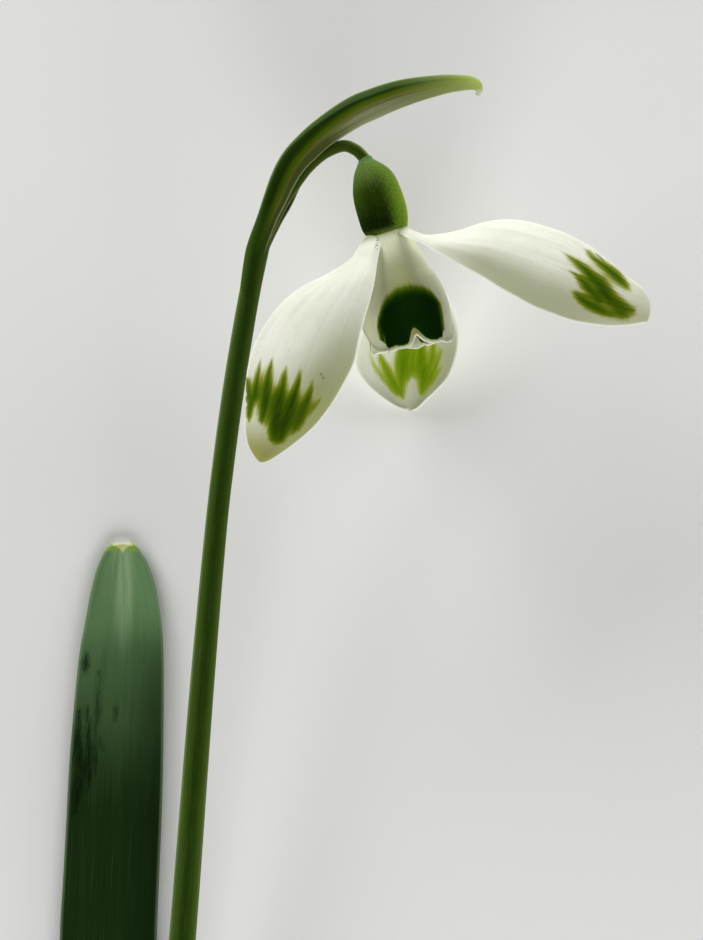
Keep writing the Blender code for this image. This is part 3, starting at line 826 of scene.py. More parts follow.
def cup_sheet(turn, half_angle, steps, size, corners):
    """A sector of the cup: at the distance s along its axis and the angle half_angle times x, it has the
    radius of CUP_ROWS, stepped in or out by x^2 towards each margin, and flared at the lip by
    exp(-(distance / 0.35)^2)."""

    def sheet(u, x):
        length = lip_length(x, corners)
        s = CUP_START + u * (length - CUP_START)
        radius = through(CUP_ROWS, np.maximum(s, -0.3) / CUP_ROWS[-1][0])[..., 1]
        step = np.where(x < 0, *steps)
        radius = size * radius + step * x**2 * smooth(s, 0.0, 4.0) + 0.12 * bell(length - s, 0.35)
        angle = math.radians(turn) + math.radians(half_angle) * x
        right, front = (radius * np.sin(angle))[..., None], (radius * np.cos(angle))[..., None]
        return HEART_PLACE + CUP_RIGHT * right + UP * front + CUP_AXIS * s[..., None]

    return sheet


def lip_distance(x, s, half_angle, corners):
    """Distance to the lip, in millimetres: the least of the distances to its points within 1 mm to either
    side."""
    nearest = np.full(x.shape, 9.0)
    width = math.radians(half_angle) * BELLY_RADIUS
    for aside in np.linspace(-1.0, 1.0, 41):
        nearest = np.minimum(nearest, np.hypot(lip_length(x + aside / width, corners) - s, aside))
    return nearest


def cup_marks(half_angle, corners, reach):
    """The layers of an inner tepal. mark is a dark dome that reaches so many degrees to either side of the
    middle: how deep a point lies in it is the least of its depths below the soft top, above the foot and
    inside the flanks. The top falls away from its crown by 1.3 (t^2 + t^5), where t is how many times
    CROWN_HALF a point's angle is off. The foot keeps LIP_MARGIN from the lip, and more in a wedge above the
    notch, which is exp(-|distance / width|^power), steeper on its left. A pale line parts a fringe from the
    mark low down on its left. rim is a painted rim light along the margins and the lip. Painted shade, greyer
    and yellower, lies thinly over the whole tepal and deepens over the middle of the cup, and the tepal is
    yellower round the notch."""

    def layers(u, x, points, side):
        length = lip_length(x, corners)
        s = CUP_START + u * (length - CUP_START)
        to_lip = lip_distance(x, s, half_angle, corners)
        angle = half_angle * x
        away = np.abs(angle)
        aside = np.radians(angle) * BELLY_RADIUS
        from_crown = np.abs(angle - 2) / CROWN_HALF
        top = CROWN_PLACE + 1.3 * from_crown**2 + 1.3 * from_crown**5
        left_wedge = np.exp(-((np.abs(aside) / 0.57) ** 2.8))
        right_wedge = np.exp(-((np.abs(aside) / 0.88) ** 1.76))
        foot = LIP_MARGIN + 1.62 * np.where(aside < 0, left_wedge, right_wedge)
        off_lip = to_lip - LIP_MARGIN - 0.9 * smooth(away, reach - 8, reach)
        from_foot = np.minimum(CUP_LENGTH - foot - s, off_lip) * 2.2
        from_side = np.radians(reach - np.where(aside < 0, 0, 2) - away) * BELLY_RADIUS * 0.8
        inside = np.minimum(np.minimum((s - top) * 0.42, from_foot), from_side)
        parting = bell((away - reach + 5) * 0.075, 0.08) * smooth(s, 9.2, 10.6) * (aside < 0)
        margin = (1 - np.abs(x)) * np.radians(half_angle) * LIP_RADIUS
        # Painted shade: yellower thinly over the whole tepal and more over the middle of the cup
        middle_painted_shade = 0.1 + 0.4 * smooth(s, 3.0, 5.5) * bell(angle, 26) * (1 - smooth(s, 8, 9))
        notch_tint = bell(aside - 0.1, 0.85) * smooth(to_lip, 0.03, 0.2) * smooth(s, 9, 10.2)
        return {
            "mark": np.clip(MARK_EDGE + np.minimum(inside, 0.4) - 0.4 * parting, -0.5, 1.5),
            # Painted rim light along the margins and the lip
            "rim": np.maximum(0.8 * bell(margin, 0.16), 0.4 * bell(to_lip, 0.1)),
            "claw": 0.45 * (1 - smooth(s, 0.1, 0.9)),
            "speck": 0 * x,
            # Painted shade: greyer thinly over the whole tepal and more over the middle of the cup
            "shade": 0.12 + 0.8 * smooth(s, 0.5, 4.0) * bell(angle + 4, 36) * (1 - smooth(s, 9, 10)),
            "tint": np.maximum(middle_painted_shade, notch_tint),
        }

    return layers


class SNOWDROP_OT_inner_tepals(bpy.types.Operator):
    """Grow the cup of three notched inner tepals, with their green marks"""

    bl_idname = "snowdrop.inner_tepals"
    bl_label = "Inner tepals"

    def execute(self, context):
        settings = context.scene.snowdrop_petals
        finish = petal_finish(
            "inner_tepal_skin", settings, settings.inner_white_with_painted_shade, CUP_STOPS, "#143505", 0.15, 0.55
        )
        for name, (turn, half_angle, steps, size, corners, reach) in INNER_TEPALS.items():
            mesh = blade(
                name, cup_sheet(turn, half_angle, steps, size, corners), full_width, shares(150),
                columns=220, wall=settings.inner_wall / MM, marks=cup_marks(half_angle, corners, reach),
                round_ends=(0.01, 0.012),
            )
            plant(name + "_skin", mesh, name, finish)
        return {"FINISHED"}


# ---- Stamens and style: height along the cup's axis, radius, and 0 for a middle that stays on the axis.

STAMEN_ROWS = [(0.0, 0.1, 0.0), (0.02, 0.15, 0.0), (0.5, 0.15, 0.0), (1.0, 0.16, 0.0), (1.2, 0.29, 0.0),
               (2.0, 0.36, 0.0), (3.2, 0.34, 0.0), (4.3, 0.22, 0.0), (5.2, 0.09, 0.0), (5.58, 0.05, 0.0),
               (5.6, 0.02, 0.0)]
STYLE_ROWS = [(0.0, 0.17, 0.0), (0.03, 0.2, 0.0), (2.0, 0.24, 0.0), (5.5, 0.22, 0.0), (7.0, 0.13, 0.0),
              (7.57, 0.09, 0.0), (7.6, 0.03, 0.0)]
STAMEN_RING = 0.98  # from the cup's axis to a stamen
STAMEN_START = HEART_PLACE + 0.4 * CUP_AXIS


def anther_section(angle, height):
    """Round, with a furrow of the depth 0.12 along the outer side of the anther, 1 mm and more above its
    start."""
    return 1 - 0.12 * bell(np.sin(angle) - 1, 0.12) * smooth(height, 1.0, 1.5)


def anther_finish():
    """Anther: powdery pollen sacs, split along their outer side, on a pale filament. Grains of 0.07 mm give
    it a dry, soft look."""
    constants = tissue(roughness=0.7, gloss=0.2, share=0.1, depth=0.2)
    made, tree, shader = new_finish("anther_pollen_skin", constants)
    front, along = stored(tree, "front", "along")
    grain = grains(tree, 14.0)
    colour = coats(tree, hex_colour("#e39a1c"), [
        ("#f6c552", grain, 0.3, 0.7, 1.0),
        ("#b8700f", front, 0.96, 1.0, 0.7),
        ("#eef0d4", along, 0.2, 0.1, 1.0),
    ])
    finish_surface(tree, shader, colour, 0.02, grain)
    return made


def style_finish():
    """Style: a smooth, firm, watery column, paler at its tip, with lengthwise rows of cells 0.17 mm wide."""
    made, tree, shader = new_finish("style_skin", tissue(roughness=0.4, gloss=0.5, share=0.2, depth=0.3))
    (along,) = stored(tree, "along")
    cells = fibres(tree, 0.5, 6.0)
    colour = coats(tree, hex_colour("#d8e2ac"), [
        ("#f0f3d8", cells, 0.3, 0.7, 1.0),
        ("#f6f6e6", along, 0.85, 1.0, 1.0),
    ])
    finish_surface(tree, shader, colour, 0.02, cells)
    return made


class SNOWDROP_OT_stamens(bpy.types.Operator):
    """Grow six stamens and the style in the cup"""

    bl_idname = "snowdrop.stamens"
    bl_label = "Stamens and style"

    def execute(self, context):
        finish = anther_finish()
        for number in range(6):
            turn = math.radians(30 + 60 * number)
            outward = CUP_RIGHT * math.sin(turn) + UP * math.cos(turn)
            across = np.cross(CUP_AXIS, outward)
            start = STAMEN_START + STAMEN_RING * outward
            name = f"stamen_{number + 1}"
            mesh = turned(
                name, STAMEN_ROWS, CUP_AXIS, across, outward, start, points=60, columns=32,
                section=anther_section,
            )
            plant(name + "_skin", mesh, name, finish)
        mesh = turned("style", STYLE_ROWS, CUP_AXIS, CUP_RIGHT, UP, STAMEN_START, points=70, columns=32)
        plant("style_skin", mesh, "style", style_finish())
        return {"FINISHED"}


# ---- Ovary. It leans a little further than the cup.

OVARY_LEAN = math.radians(14)
OVARY_AXIS = np.array([-math.sin(OVARY_LEAN), math.cos(OVARY_LEAN), 0.0])
OVARY_RIGHT = np.array([math.cos(OVARY_LEAN), math.sin(OVARY_LEAN), 0.0])
OVARY_ROWS = [  # height above the heart, radius, how far its middle stands off to the right
    (-0.02, 0.9, -0.1),
    (0.0, 1.7, -0.12),
    (0.16, 2.06, -0.15),
    (0.5, 2.24, -0.18),
    (1.1, 2.4, -0.18),
    (2.2, 2.49, -0.17),
    (3.4, 2.48, -0.21),
    (4.5, 2.37, -0.23),
    (5.4, 2.17, -0.22),
    (6.2, 1.85, -0.26),
    (6.8, 1.46, -0.34),
    (7.25, 1.06, -0.43),
    (7.6, 0.76, -0.5),
    (7.95, 0.62, -0.52),
    (8.05, 0.3, -0.52),
]


def ovary_section(angle, height):
    """Three barely swollen lobes and twelve faint ribs, which fade towards both ends."""
    middle = smooth(height, 0.3, 1.8) * smooth(-height, -7.4, -5.6)
    return 1 + middle * (0.012 * np.cos(3 * angle + 0.6) + 0.002 * np.cos(12 * angle))


def ovary_finish(greens):
    """Ovary: a firm green fruit wall under a thin waxy bloom. Painted shade darkens its lower middle, and
    painted light makes both flanks paler than its middle, its right flank most, with a painted highlight
    along its right edge. Lengthwise lines 0.3 mm apart and pores of 0.14 mm break up its greens."""
    constants = tissue(roughness=0.65, gloss=0.025, share=0.05, depth=0.3)
    made, tree, shader = new_finish("ovary_waxy_skin", constants)
    along, side = stored(tree, "along", "side")
    line, fine, grain = fibres(tree, 0.12, 3.4), fibres(tree, 2.0, 6.0, seed=5.0), grains(tree, 7.0)
    flank = frayed(tree, side, (line, 0.1), (fine, 0.35))
    height = frayed(tree, along, (line, 0.05), (fine, 0.25))
    colour = coats(tree, greens.ovary, [
        # Painted light on both flanks, most on the right, and painted shade over the lower half
        ("#3c560a", flank, -0.3, -1.0, 0.85),
        ("#0f1b03", height, 0.5, 0.15, 0.9),
        ("#6f9024", flank, 0.12, 0.85, 0.9),
        ("#86a63c", flank, 0.75, 1.0, 0.7),
        (greens.bloom, height, 0.5, 0.9, 0.85),
        ("#6d9060", height, 0.85, 1.0, 0.7),
        ("#7f9f44", grain, 0.5, 0.75, 0.08),
        ("#142404", grain, 0.5, 0.3, 0.35),
        ("#6f8630", along, 0.1, 0.0, 0.7),
        # Painted highlight along the right edge
        ("#b3c87c", side, 0.965, 1.0, 0.45),
    ])
    finish_surface(tree, shader, colour, 0.04, grain)
    return made


class SNOWDROP_OT_ovary(bpy.types.Operator):
    """Grow the green ovary that carries the tepals"""

    bl_idname = "snowdrop.ovary"
    bl_label = "Ovary"

    def execute(self, context):
        mesh = turned(
            "ovary", OVARY_ROWS, OVARY_AXIS, OVARY_RIGHT, UP, HEART_PLACE, points=130, columns=168,
            section=ovary_section,
        )
        plant("ovary_skin", mesh, "ovary", ovary_finish(context.scene.snowdrop_greens))
        return {"FINISHED"}


# ---- Scape and pedicel: x, y, height and radius.

SCAPE_ROWS = [
    (-26.1, -119.0, 3.15, 1.45),
    (-24.7, -106.0, 3.2, 1.43),
    (-22.95, -90.0, 4.3, 1.41),
    (-21.24, -71.5, 6.4, 1.37),
    (-19.29, -47.1, 9.4, 1.24),
    (-17.83, -30.9, 11.4, 1.12),
    (-16.9, -22.8, 12.5, 1.1),
    (-15.77, -14.8, 13.6, 1.09),
    (-14.39, -6.7, 14.7, 1.05),
    (-13.35, -1.9, 15.35, 1.0),
    (-12.75, -0.5, 15.6, 0.75),
    (-12.35, 0.3, 15.75, 0.4),
]
PEDICEL_ROWS = [
    (-13.3, -1.95, 15.35, 0.5),
    (-11.75, 1.15, 16.05, 0.52),
    (-10.65, 3.25, 16.5, 0.54),
    (-9.35, 5.2, 16.8, 0.56),
    (-8.2, 6.65, 16.9, 0.58),
    (-6.7, 7.9, 16.95, 0.6),
    (-4.9, 8.6, 16.9, 0.6),
    (-3.7, 8.25, 16.8, 0.6),
    (-3.0, 7.65, 16.78, 0.6),
    (-2.6, 7.1, 16.77, 0.62),
]

# Colours across a stem, from its inner flank over its upper side to its outer flank: painted light, pale on
# the flanks and darkest along the upper side, with a painted sheen at the outermost edges.
SCAPE_STOPS = [(0.0, "#5b6d37"), (0.1, "#40561b"), (0.25, "#324711"), (0.38, "#263d0a"), (0.56, "#233a0a"),
               (0.68, "#324812"), (0.88, "#425a20"), (1.0, "#7a8b58")]
PEDICEL_STOPS = [(0.0, "#7a8650"), (0.12, "#485822"), (0.38, "#384b0e"), (0.6, "#2c3d09"), (0.84, "#56691f"),
                 (1.0, "#b4c188")]


def stem_finish(name, stops):
    """Scape and pedicel: a smooth waxy green skin over stringy flesh. Painted light makes its flanks paler
    than the broad dark band along its upper side, with a painted sheen at their outermost edges. Lines 0.22
    mm apart with finer ones of 0.09 mm between run its length, and its cut shows pale wet pith in cells of
    0.2 mm."""
    made, tree, shader = new_finish(name, tissue(roughness=0.65, gloss=0.025, share=0.05, depth=0.3))
    side, cut = stored(tree, "side", "cut")
    line, fine = fibres(tree, 0.06, 4.5), fibres(tree, 0.25, 11.0, seed=2.0)
    place = add(tree, "Math", {0: frayed(tree, side, (line, 0.35)), 1: 0.5, 2: 0.5}, operation="MULTIPLY_ADD")
    colour = coats(tree, add(tree, "ValToRGB", {0: place}, stops=stops), [
        ("#66793c", fine, 0.5, 0.8, 0.2),
        ("#c3cf97", frayed(tree, cut, (grains(tree, 5.0), 0.9)), 0.5, 1.15, 1.0),
    ])
    finish_surface(tree, shader, colour, 0.02, line, fine)
    return made


def stem_section(angle):
    """A near-round section with a shallow groove along the upper side and another below."""
    return 1.0 - 0.05 * bell(np.sin(angle) - 1, 0.12) - 0.03 * bell(np.sin(angle) + 1, 0.12)


class SNOWDROP_OT_stems(bpy.types.Operator):
    """Grow the scape, and the pedicel that the flower hangs from"""

    bl_idname = "snowdrop.stems"
    bl_label = "Scape and pedicel"

    def execute(self, context):
        scape = stem_finish("scape_waxy_skin", SCAPE_STOPS)
        mesh = stalk("scape", SCAPE_ROWS, points=560, columns=72, section=stem_section)
        plant("scape_skin", mesh, "scape", scape)
        pedicel = stem_finish("pedicel_waxy_skin", PEDICEL_STOPS)
        mesh = stalk("pedicel", PEDICEL_ROWS, points=160, columns=48, section=np.ones_like)
        plant("pedicel_skin", mesh, "pedicel", pedicel)
        return {"FINISHED"}


# ---- Spathe.

SPATHE_ROWS = [  # x, y, height, half height, half depth, angle of the near edge, angle of the far edge
    (-14.3, -6.5, 14.75, 0.9, 0.9, 150, 150),
    (-13.75, -3.2, 15.2, 1.0, 0.98, 140, 150),
    (-13.3, -1.5, 15.4, 1.1, 1.0, 130, 150),
    (-12.15, 1.25, 15.75, 1.25, 1.0, 120, 152),
    (-11.25, 3.2, 16.0, 1.5, 1.05, 118, 150),
    (-10.35, 5.2, 16.3, 1.65, 1.1, 119, 144),
    (-9.5, 6.7, 16.5, 1.7, 1.1, 122, 134),
    (-8.5, 7.9, 16.6, 1.7, 1.1, 127, 130),
    (-6.75, 9.6, 16.75, 1.65, 1.1, 134, 132),
    (-4.1, 11.55, 16.9, 1.6, 1.1, 145, 145),
    (-2.1, 12.6, 16.95, 1.5, 1.0, 155, 155),
    (1.1, 13.8, 17.0, 1.28, 0.85, 160, 160),
    (4.85, 14.62, 17.0, 0.92, 0.6, 160, 160),
    (7.2, 14.84, 17.0, 0.68, 0.45, 160, 160),
    (8.2, 14.72, 17.0, 0.54, 0.36, 160, 160),
    (8.62, 14.35, 17.0, 0.34, 0.26, 160, 160),
    (8.62, 13.98, 17.0, 0.2, 0.17, 160, 160),
    (8.45, 13.7, 17.0, 0.08, 0.08, 160, 160),
]
SPATHE_WALL = 0.3


def spathe_angle(values, x):
    """The angle round the spathe's path, which runs from the far edge at x = -1 to the near edge at x = 1,
    and half of the way that it runs."""
    near, far = np.radians(values[..., 5]), np.radians(values[..., 6])
    reach = (near + far) / 2
    return (near - far) / 2 + reach * x, reach


def spathe_sheet(u, x):
    """A hooded sheath open along the inside of its curve: at the angle a it stands off its path outwards by
    the half height times cos(a) and up by the half depth times sin(a), creased by 1 + 0.02 cos(9a)."""
    values, outward, up = path_frame(SPATHE_ROWS, u)
    angle, _ = spathe_angle(values, x)
    crease = 1 + 0.02 * np.cos(9 * angle) * smooth(u, 0.1, 0.3)
    height, depth = values[..., 3] * crease, values[..., 4] * crease
    off_path = outward * (height * np.cos(angle))[..., None] + up * (depth * np.sin(angle))[..., None]
    return values[..., :3] + off_path


def spathe_marks(u, x, points, side):
    """side is near cos(a), 1 on the back of the spathe and -1 towards its edges, rim falls off from the
    edges, wax is a bloom along the back that widens towards the tip, pale is on the thinnest part of the
    membrane, and low on its lower part, where painted shade darkens the membrane to a deeper green over the
    pedicel."""
    values = through(SPATHE_ROWS, u)
    angle, reach = spathe_angle(values, x)
    rise = smooth(u, 0.35, 0.6)
    back = np.cos(angle)
    from_edge = (1 - np.abs(x)) * reach * values[..., 3]
    return {
        "side": back - 0.12 * rise * (back < 0.6),
        "rim": bell(from_edge, 0.14) * smooth(u, 0.08, 0.16),
        "along": u,
        "wax": smooth(back, 0.8 - 0.3 * rise, 0.95 - 0.25 * rise) * (1 - smooth(u, 0.72, 0.85)),
        "pale": smooth(-back, 0.0, 0.3) * bell(u - 0.58, 0.1),
        "low": smooth(-back, -0.15, 0.3) * (1 - smooth(u, 0.42, 0.56)),
    }


def spathe_finish(greens):
    """Spathe: a waxy green keel along the back, thinning to a papery membrane. Fibres 0.25 mm apart run its
    length, with finer ones of 0.1 mm between, and stand out dark in the membrane. Its foot takes the
    colours of the scape that it wraps, with their painted light, and its tip is pale. Painted shade darkens
    the lower membrane over the pedicel, and the very back is pale, partly the thin dorsal membrane and partly
    a painted highlight."""
    constants = tissue(roughness=0.65, gloss=0.025, share=0.08, depth=0.2)
    made, tree, shader = new_finish("spathe_skin_and_membrane", constants)
    side, along, rim, wax, pale, low = stored(tree, "side", "along", "rim", "wax", "pale", "low")
    line, fine = fibres(tree, 0.08, 4.0), fibres(tree, 0.3, 10.0, seed=4.0)
    place = add(tree, "Math", {0: frayed(tree, side, (line, 0.2)), 1: 0.5, 2: 0.5}, operation="MULTIPLY_ADD")
    stops = [(0.0, "#84895d"), (0.2, "#777d4d"), (0.38, greens.membrane), (0.46, "#6d6c3a"),
             (0.51, "#55620f"), (0.58, "#425b07"), (0.67, "#263b05"), (0.76, greens.keel), (0.92, "#223a05")]
    thin = add(tree, "MapRange", {0: side, 1: 0.1, 2: -0.2})
    papery = add(tree, "Math", {0: line, 1: thin}, operation="MULTIPLY")
    scape_place = add(tree, "Math", {0: place, 1: 0.08}, operation="SUBTRACT")
    foot = add(tree, "ValToRGB", {0: scape_place}, stops=SCAPE_STOPS)
    waxy = frayed(tree, wax, (line, 0.3), (fine, 0.25))
    colour = coats(tree, add(tree, "ValToRGB", {0: place}, stops=stops), [
        ("#a9ae8c", pale, 0.0, 1.0, 0.4),
        # Painted shade: the lower membrane deeper green over the pedicel
        ("#3b4914", frayed(tree, low, (line, 0.4)), 0.1, 0.9, 0.8),
        ("#4e5628", papery, 0.45, 0.7, 0.5),
        ("#486031", waxy, 0.1, 0.9, 0.8),
        # The very back pale: partly the thin dorsal membrane, partly a painted highlight
        ("#b7c496", side, 0.95, 1.0, 0.5),
        # The foot takes the scape's colours, with their painted light
        (foot, along, 0.24, 0.08, 1.0),
        ("#c8de78", along, 0.62, 0.86, 0.8),
        ("#e6eccb", along, 0.87, 0.94, 0.9),
        ("#b4ba92", rim, 0.0, 1.0, 0.65),
    ])
    finish_surface(tree, shader, colour, 0.02, line, fine)
    return made


class SNOWDROP_OT_spathe(bpy.types.Operator):
    """Grow the hooded spathe above the flower"""

    bl_idname = "snowdrop.spathe"
    bl_label = "Spathe"

    def execute(self, context):
        mesh = blade(
            "spathe", spathe_sheet, full_width, shares(230, crowding=0.4), columns=160, wall=SPATHE_WALL,
            marks=spathe_marks, round_ends=(0.004, 0.01),
        )
        plant("spathe_skin", mesh, "spathe", spathe_finish(context.scene.snowdrop_greens))
        return {"FINISHED"}


# ---- Leaf.

LEAF_ROWS = [  # x, y, height, half width along the blade's arc, curl of the blade in radians
    (-26.1, -119.0, 1.05, 2.8, 1.1),
    (-25.3, -111.5, 1.05, 2.8, 1.05),
    (-24.85, -105.5, 1.05, 2.8, 0.95),
    (-24.9, -100.0, 1.0, 2.9, 0.8),
    (-25.8, -94.0, 0.75, 3.6, 0.5),
    (-27.6, -87.0, 0.5, 4.5, 0.32),
    (-28.9, -79.0, 0.45, 5.05, 0.28),
    (-28.95, -71.8, 0.45, 5.03, 0.28),
    (-28.7, -66.3, 0.45, 4.97, 0.28),
    (-28.4, -60.2, 0.45, 4.93, 0.28),
    (-28.15, -54.1, 0.45, 4.86, 0.28),
    (-27.9, -48.7, 0.45, 4.67, 0.28),
    (-27.65, -43.6, 0.45, 4.42, 0.29),
    (-27.45, -40.4, 0.45, 4.1, 0.3),
    (-27.4, -37.7, 0.46, 3.68, 0.32),
    (-27.4, -35.9, 0.47, 3.34, 0.35),
    (-27.45, -34.05, 0.48, 2.8, 0.38),
    (-27.5, -32.65, 0.5, 2.15, 0.42),
    (-27.5, -31.75, 0.54, 1.5, 0.46),
    (-27.5, -31.35, 0.56, 0.88, 0.46),
    (-27.5, -31.18, 0.56, 0.25, 0.46),
]
LEAF_TIP = LEAF_ROWS[-1][1]


def leaf_sheet(u, x):
    """A strap on its path: at the angle a, curl times x, it is an arc of the radius half width / curl,
    drawn in by sin(a) and raised by 1 - cos(a), with a soft keel of 0.05 mm under its midrib."""
    values, outward, up = path_frame(LEAF_ROWS, u)
    half, curl = values[..., 3], values[..., 4]
    radius, angle = half / curl, curl * x
    rise = radius * (1 - np.cos(angle)) - 0.05 * bell(x * half, 0.6) * smooth(1 - u, 0.0, 0.1)
    return values[..., :3] - outward * (radius * np.sin(angle))[..., None] + up * rise[..., None]


# Streaks where the bloom is rubbed off: x, y and half width along each.
RUBBED = [
    [(-31.2, -42.6, 0.05), (-31.35, -43.6, 0.35), (-31.45, -44.6, 0.05)],
    [(-30.0, -44.4, 0.02), (-30.15, -49.6, 0.06), (-30.45, -55.0, 0.02)],
    [(-32.0, -48.5, 0.05), (-32.1, -51.8, 0.45), (-32.0, -53.5, 0.5), (-31.6, -54.3, 0.55),
     (-32.1, -56.4, 0.45), (-32.5, -58.9, 0.2)],
    [(-31.2, -48.0, 0.0), (-31.0, -52.0, 0.3), (-31.0, -55.0, 0.3), (-31.3, -56.5, 0.1)],
    [(-28.3, -48.1, 0.04), (-28.3, -49.4, 0.04)],
    [(-29.65, -51.3, 0.02), (-29.7, -52.2, 0.02)],
]


def leaf_marks(u, x, points, side):
    """rim falls off inwards from the margin, lit is a painted highlight a little off the midrib, rubbed
    comes from the streaks, hood from the tip with a small point down its middle, crest from the very tip, and
    ends from the tip's two sides. A painted shadow grows towards the right low on the leaf, along from its
    middle to its tip, and base towards its foot."""
    half = through(LEAF_ROWS, u)[..., 3]
    y, across = points[..., 1], x * half
    to_tip = LEAF_TIP - y
    hood_edge = to_tip - 0.5 * bell(across, 0.3) + 0.25 * smooth(np.abs(across), 0.4, 1.0)
    return {
        "rim": bell((1 - np.abs(x)) * half, 0.2),
        "lit": bell(across - 0.05, 1.2) * smooth(y, -47, -34),
        "rubbed": smooth(streak_depth(points, RUBBED, 0.1), -0.85, 0.5) * (side > 0),
        "hood": 1 - smooth(hood_edge, 0.4, 0.7),
        "crest": 1 - smooth(to_tip, 0.1, 0.28),
        "ends": (1 - smooth(to_tip, 0.65, 1.1)) * smooth(np.abs(across), 0.1, 0.7),
        "along": smooth(y, -66, -31),
        "base": 1 - smooth(y, -117, -99),
        "dim": smooth(x, -0.3, 1.0) * smooth(-y, 35, 49),
    }


def leaf_wall(u, x):
    """Thickness of the leaf, in millimetres: 0.8, and thinner over its last twentieth, down to 0.25."""
    return 0.25 + 0.55 * smooth(1 - u, 0.0, 0.05)


def leaf_finish(greens):
    """Leaf: a strap with a bluish waxy bloom, worn off in dark streaks, over parallel veins 0.45 mm apart.
    Broad bands of 1.7 mm and clouds of 8 mm vary the bloom, fibres of 0.14 mm lie between the veins, and
    the worn streaks break up into strands of 0.2 mm and 0.12 mm. It pales towards its tip, partly with the
    bloom and partly with painted light, takes a painted highlight a little off the midrib near the tip, and a
    painted shadow darkens it towards the right low down."""
    constants = tissue(roughness=0.65, gloss=0.025, share=0.04, depth=0.3)
    made, tree, shader = new_finish("leaf_glaucous_skin", constants)
    along, lit, rubbed, rim, hood, crest, ends, dim, base = stored(
        tree, "along", "lit", "rubbed", "rim", "hood", "crest", "ends", "dim", "base"
    )
    line, fine = fibres(tree, 0.03, 2.2), fibres(tree, 0.1, 7.0, seed=6.0)
    broad, cloud = fibres(tree, 0.05, 0.6, seed=11.0), grains(tree, 0.12)
    grain = fibres(tree, 2.5, 7.0, seed=8.0)
    strand, small_strand = fibres(tree, 0.4, 5.0, seed=9.0), fibres(tree, 3.0, 8.0, seed=3.0)
    worn = frayed(tree, rubbed, (strand, 1.2), (small_strand, 0.7))
    high = frayed(tree, along, (broad, 0.3), (cloud, 0.25))
    colour = coats(tree, hex_colour("#1b2f12"), [
        # Paler towards the tip: partly the bloom, partly painted light
        (greens.leaf, high, 0.1, 0.75, 1.0),
        ("#759a6a", high, 0.65, 1.1, 0.9),
        # Painted highlight a little off the midrib
        ("#a6c297", lit, 0.1, 1.0, 0.6),
        ("#1d3414", broad, 0.45, 0.75, 0.35),
        ("#2a4620", line, 0.45, 0.75, 0.12),
        ("#7c9870", fine, 0.5, 0.8, 0.06),
        ("#0c1f08", grain, 0.5, 0.8, 0.15),
        # Painted shadow towards the right, low on the leaf
        ("#0f2209", dim, 0.1, 1.1, 0.6),
        ("#0a1a07", worn, 0.25, 1.05, 0.85),
        ("#8fa482", rim, 0.0, 1.0, 0.35),
        ("#a9b97c", frayed(tree, base, (line, 0.3)), 0.1, 1.0, 0.9),
        ("#86ad3c", ends, 0.0, 1.0, 0.8),
        ("#d5d88c", hood, 0.0, 1.0, 0.9),
        (greens.leaf_tip, crest, 0.0, 1.0, 0.9),
    ])
    finish_surface(tree, shader, colour, 0.015, line, fine)
    return made


class SNOWDROP_OT_leaf(bpy.types.Operator):
    """Grow the strap-shaped leaf"""

    bl_idname = "snowdrop.leaf"
    bl_label = "Leaf"

    def execute(self, context):
        mesh = blade(
            "leaf", leaf_sheet, full_width, shares(360, crowding=0.75), columns=140, wall=leaf_wall,
            marks=leaf_marks, round_ends=(0.002, 0.002), pinch=0.55,
        )
        plant("leaf_skin", mesh, "leaf", leaf_finish(context.scene.snowdrop_greens))
        return {"FINISHED"}


# ---- Sheath.

SHEATH_ROWS = [  # x, y, height, half width, half height
    (-26.1, -119.0, 2.75, 3.6, 2.575),
    (-25.35, -112.0, 2.75, 3.6, 2.575),
    (-24.85, -106.0, 2.8, 3.75, 2.625),
    (-24.65, -100.5, 2.95, 4.2, 2.75),
]
SHEATH_WALL = 0.35
SHEATH_LENGTH, SHEATH_RADIUS = 18.5, 3.3  # in millimetres, to its pattern
SHEATH_COLUMNS, SHEATH_ROUNDS = 160, 120


def sheath_mesh():
    """A tube on its path, oval by the angle a round it and waved by cos(5a) and cos(17a). Round its wall by
    the angle b, the share along is (1 - cos(b)) / 2 and the skin stands off the middle of the wall by half
    its thickness times |sin(b)|^0.35, outwards and then inwards. Its upper end slants by (1 - cos(a)) / 2."""
    angle = 2 * np.pi * np.arange(SHEATH_COLUMNS + 1) / SHEATH_COLUMNS - np.pi
    wall_angle = 2 * np.pi * np.arange(SHEATH_ROUNDS) / SHEATH_ROUNDS
    u = (0.5 - 0.5 * np.cos(wall_angle))[:, None] + 0 * angle
    lift = np.sign(np.sin(wall_angle)) * np.abs(np.sin(wall_angle)) ** 0.35 * (SHEATH_WALL / 2)
    around = angle[None, :] + 0 * u
    slant = 0.08 * u * (1 - np.cos(around)) / 2
    values, outward, up = path_frame(SHEATH_ROWS, u * 0.92 + slant)
    wave = 0.06 * np.cos(5 * around + 1.2) * smooth(u, 0.5, 1.0) + 0.03 * np.cos(17 * around)
    wide = values[..., 3] + lift[:, None] + wave * 0.6
    high = values[..., 4] + lift[:, None] + wave * 0.3 * np.sin(around)
    off_path = outward * (wide * np.sin(around))[..., None] - up * (high * np.cos(around))[..., None]
    uv = np.stack([u * SHEATH_LENGTH, around * SHEATH_RADIUS], axis=-1)
    return skin("sheath", values[..., :3] + off_path, uv, {"along": u}, "ring")


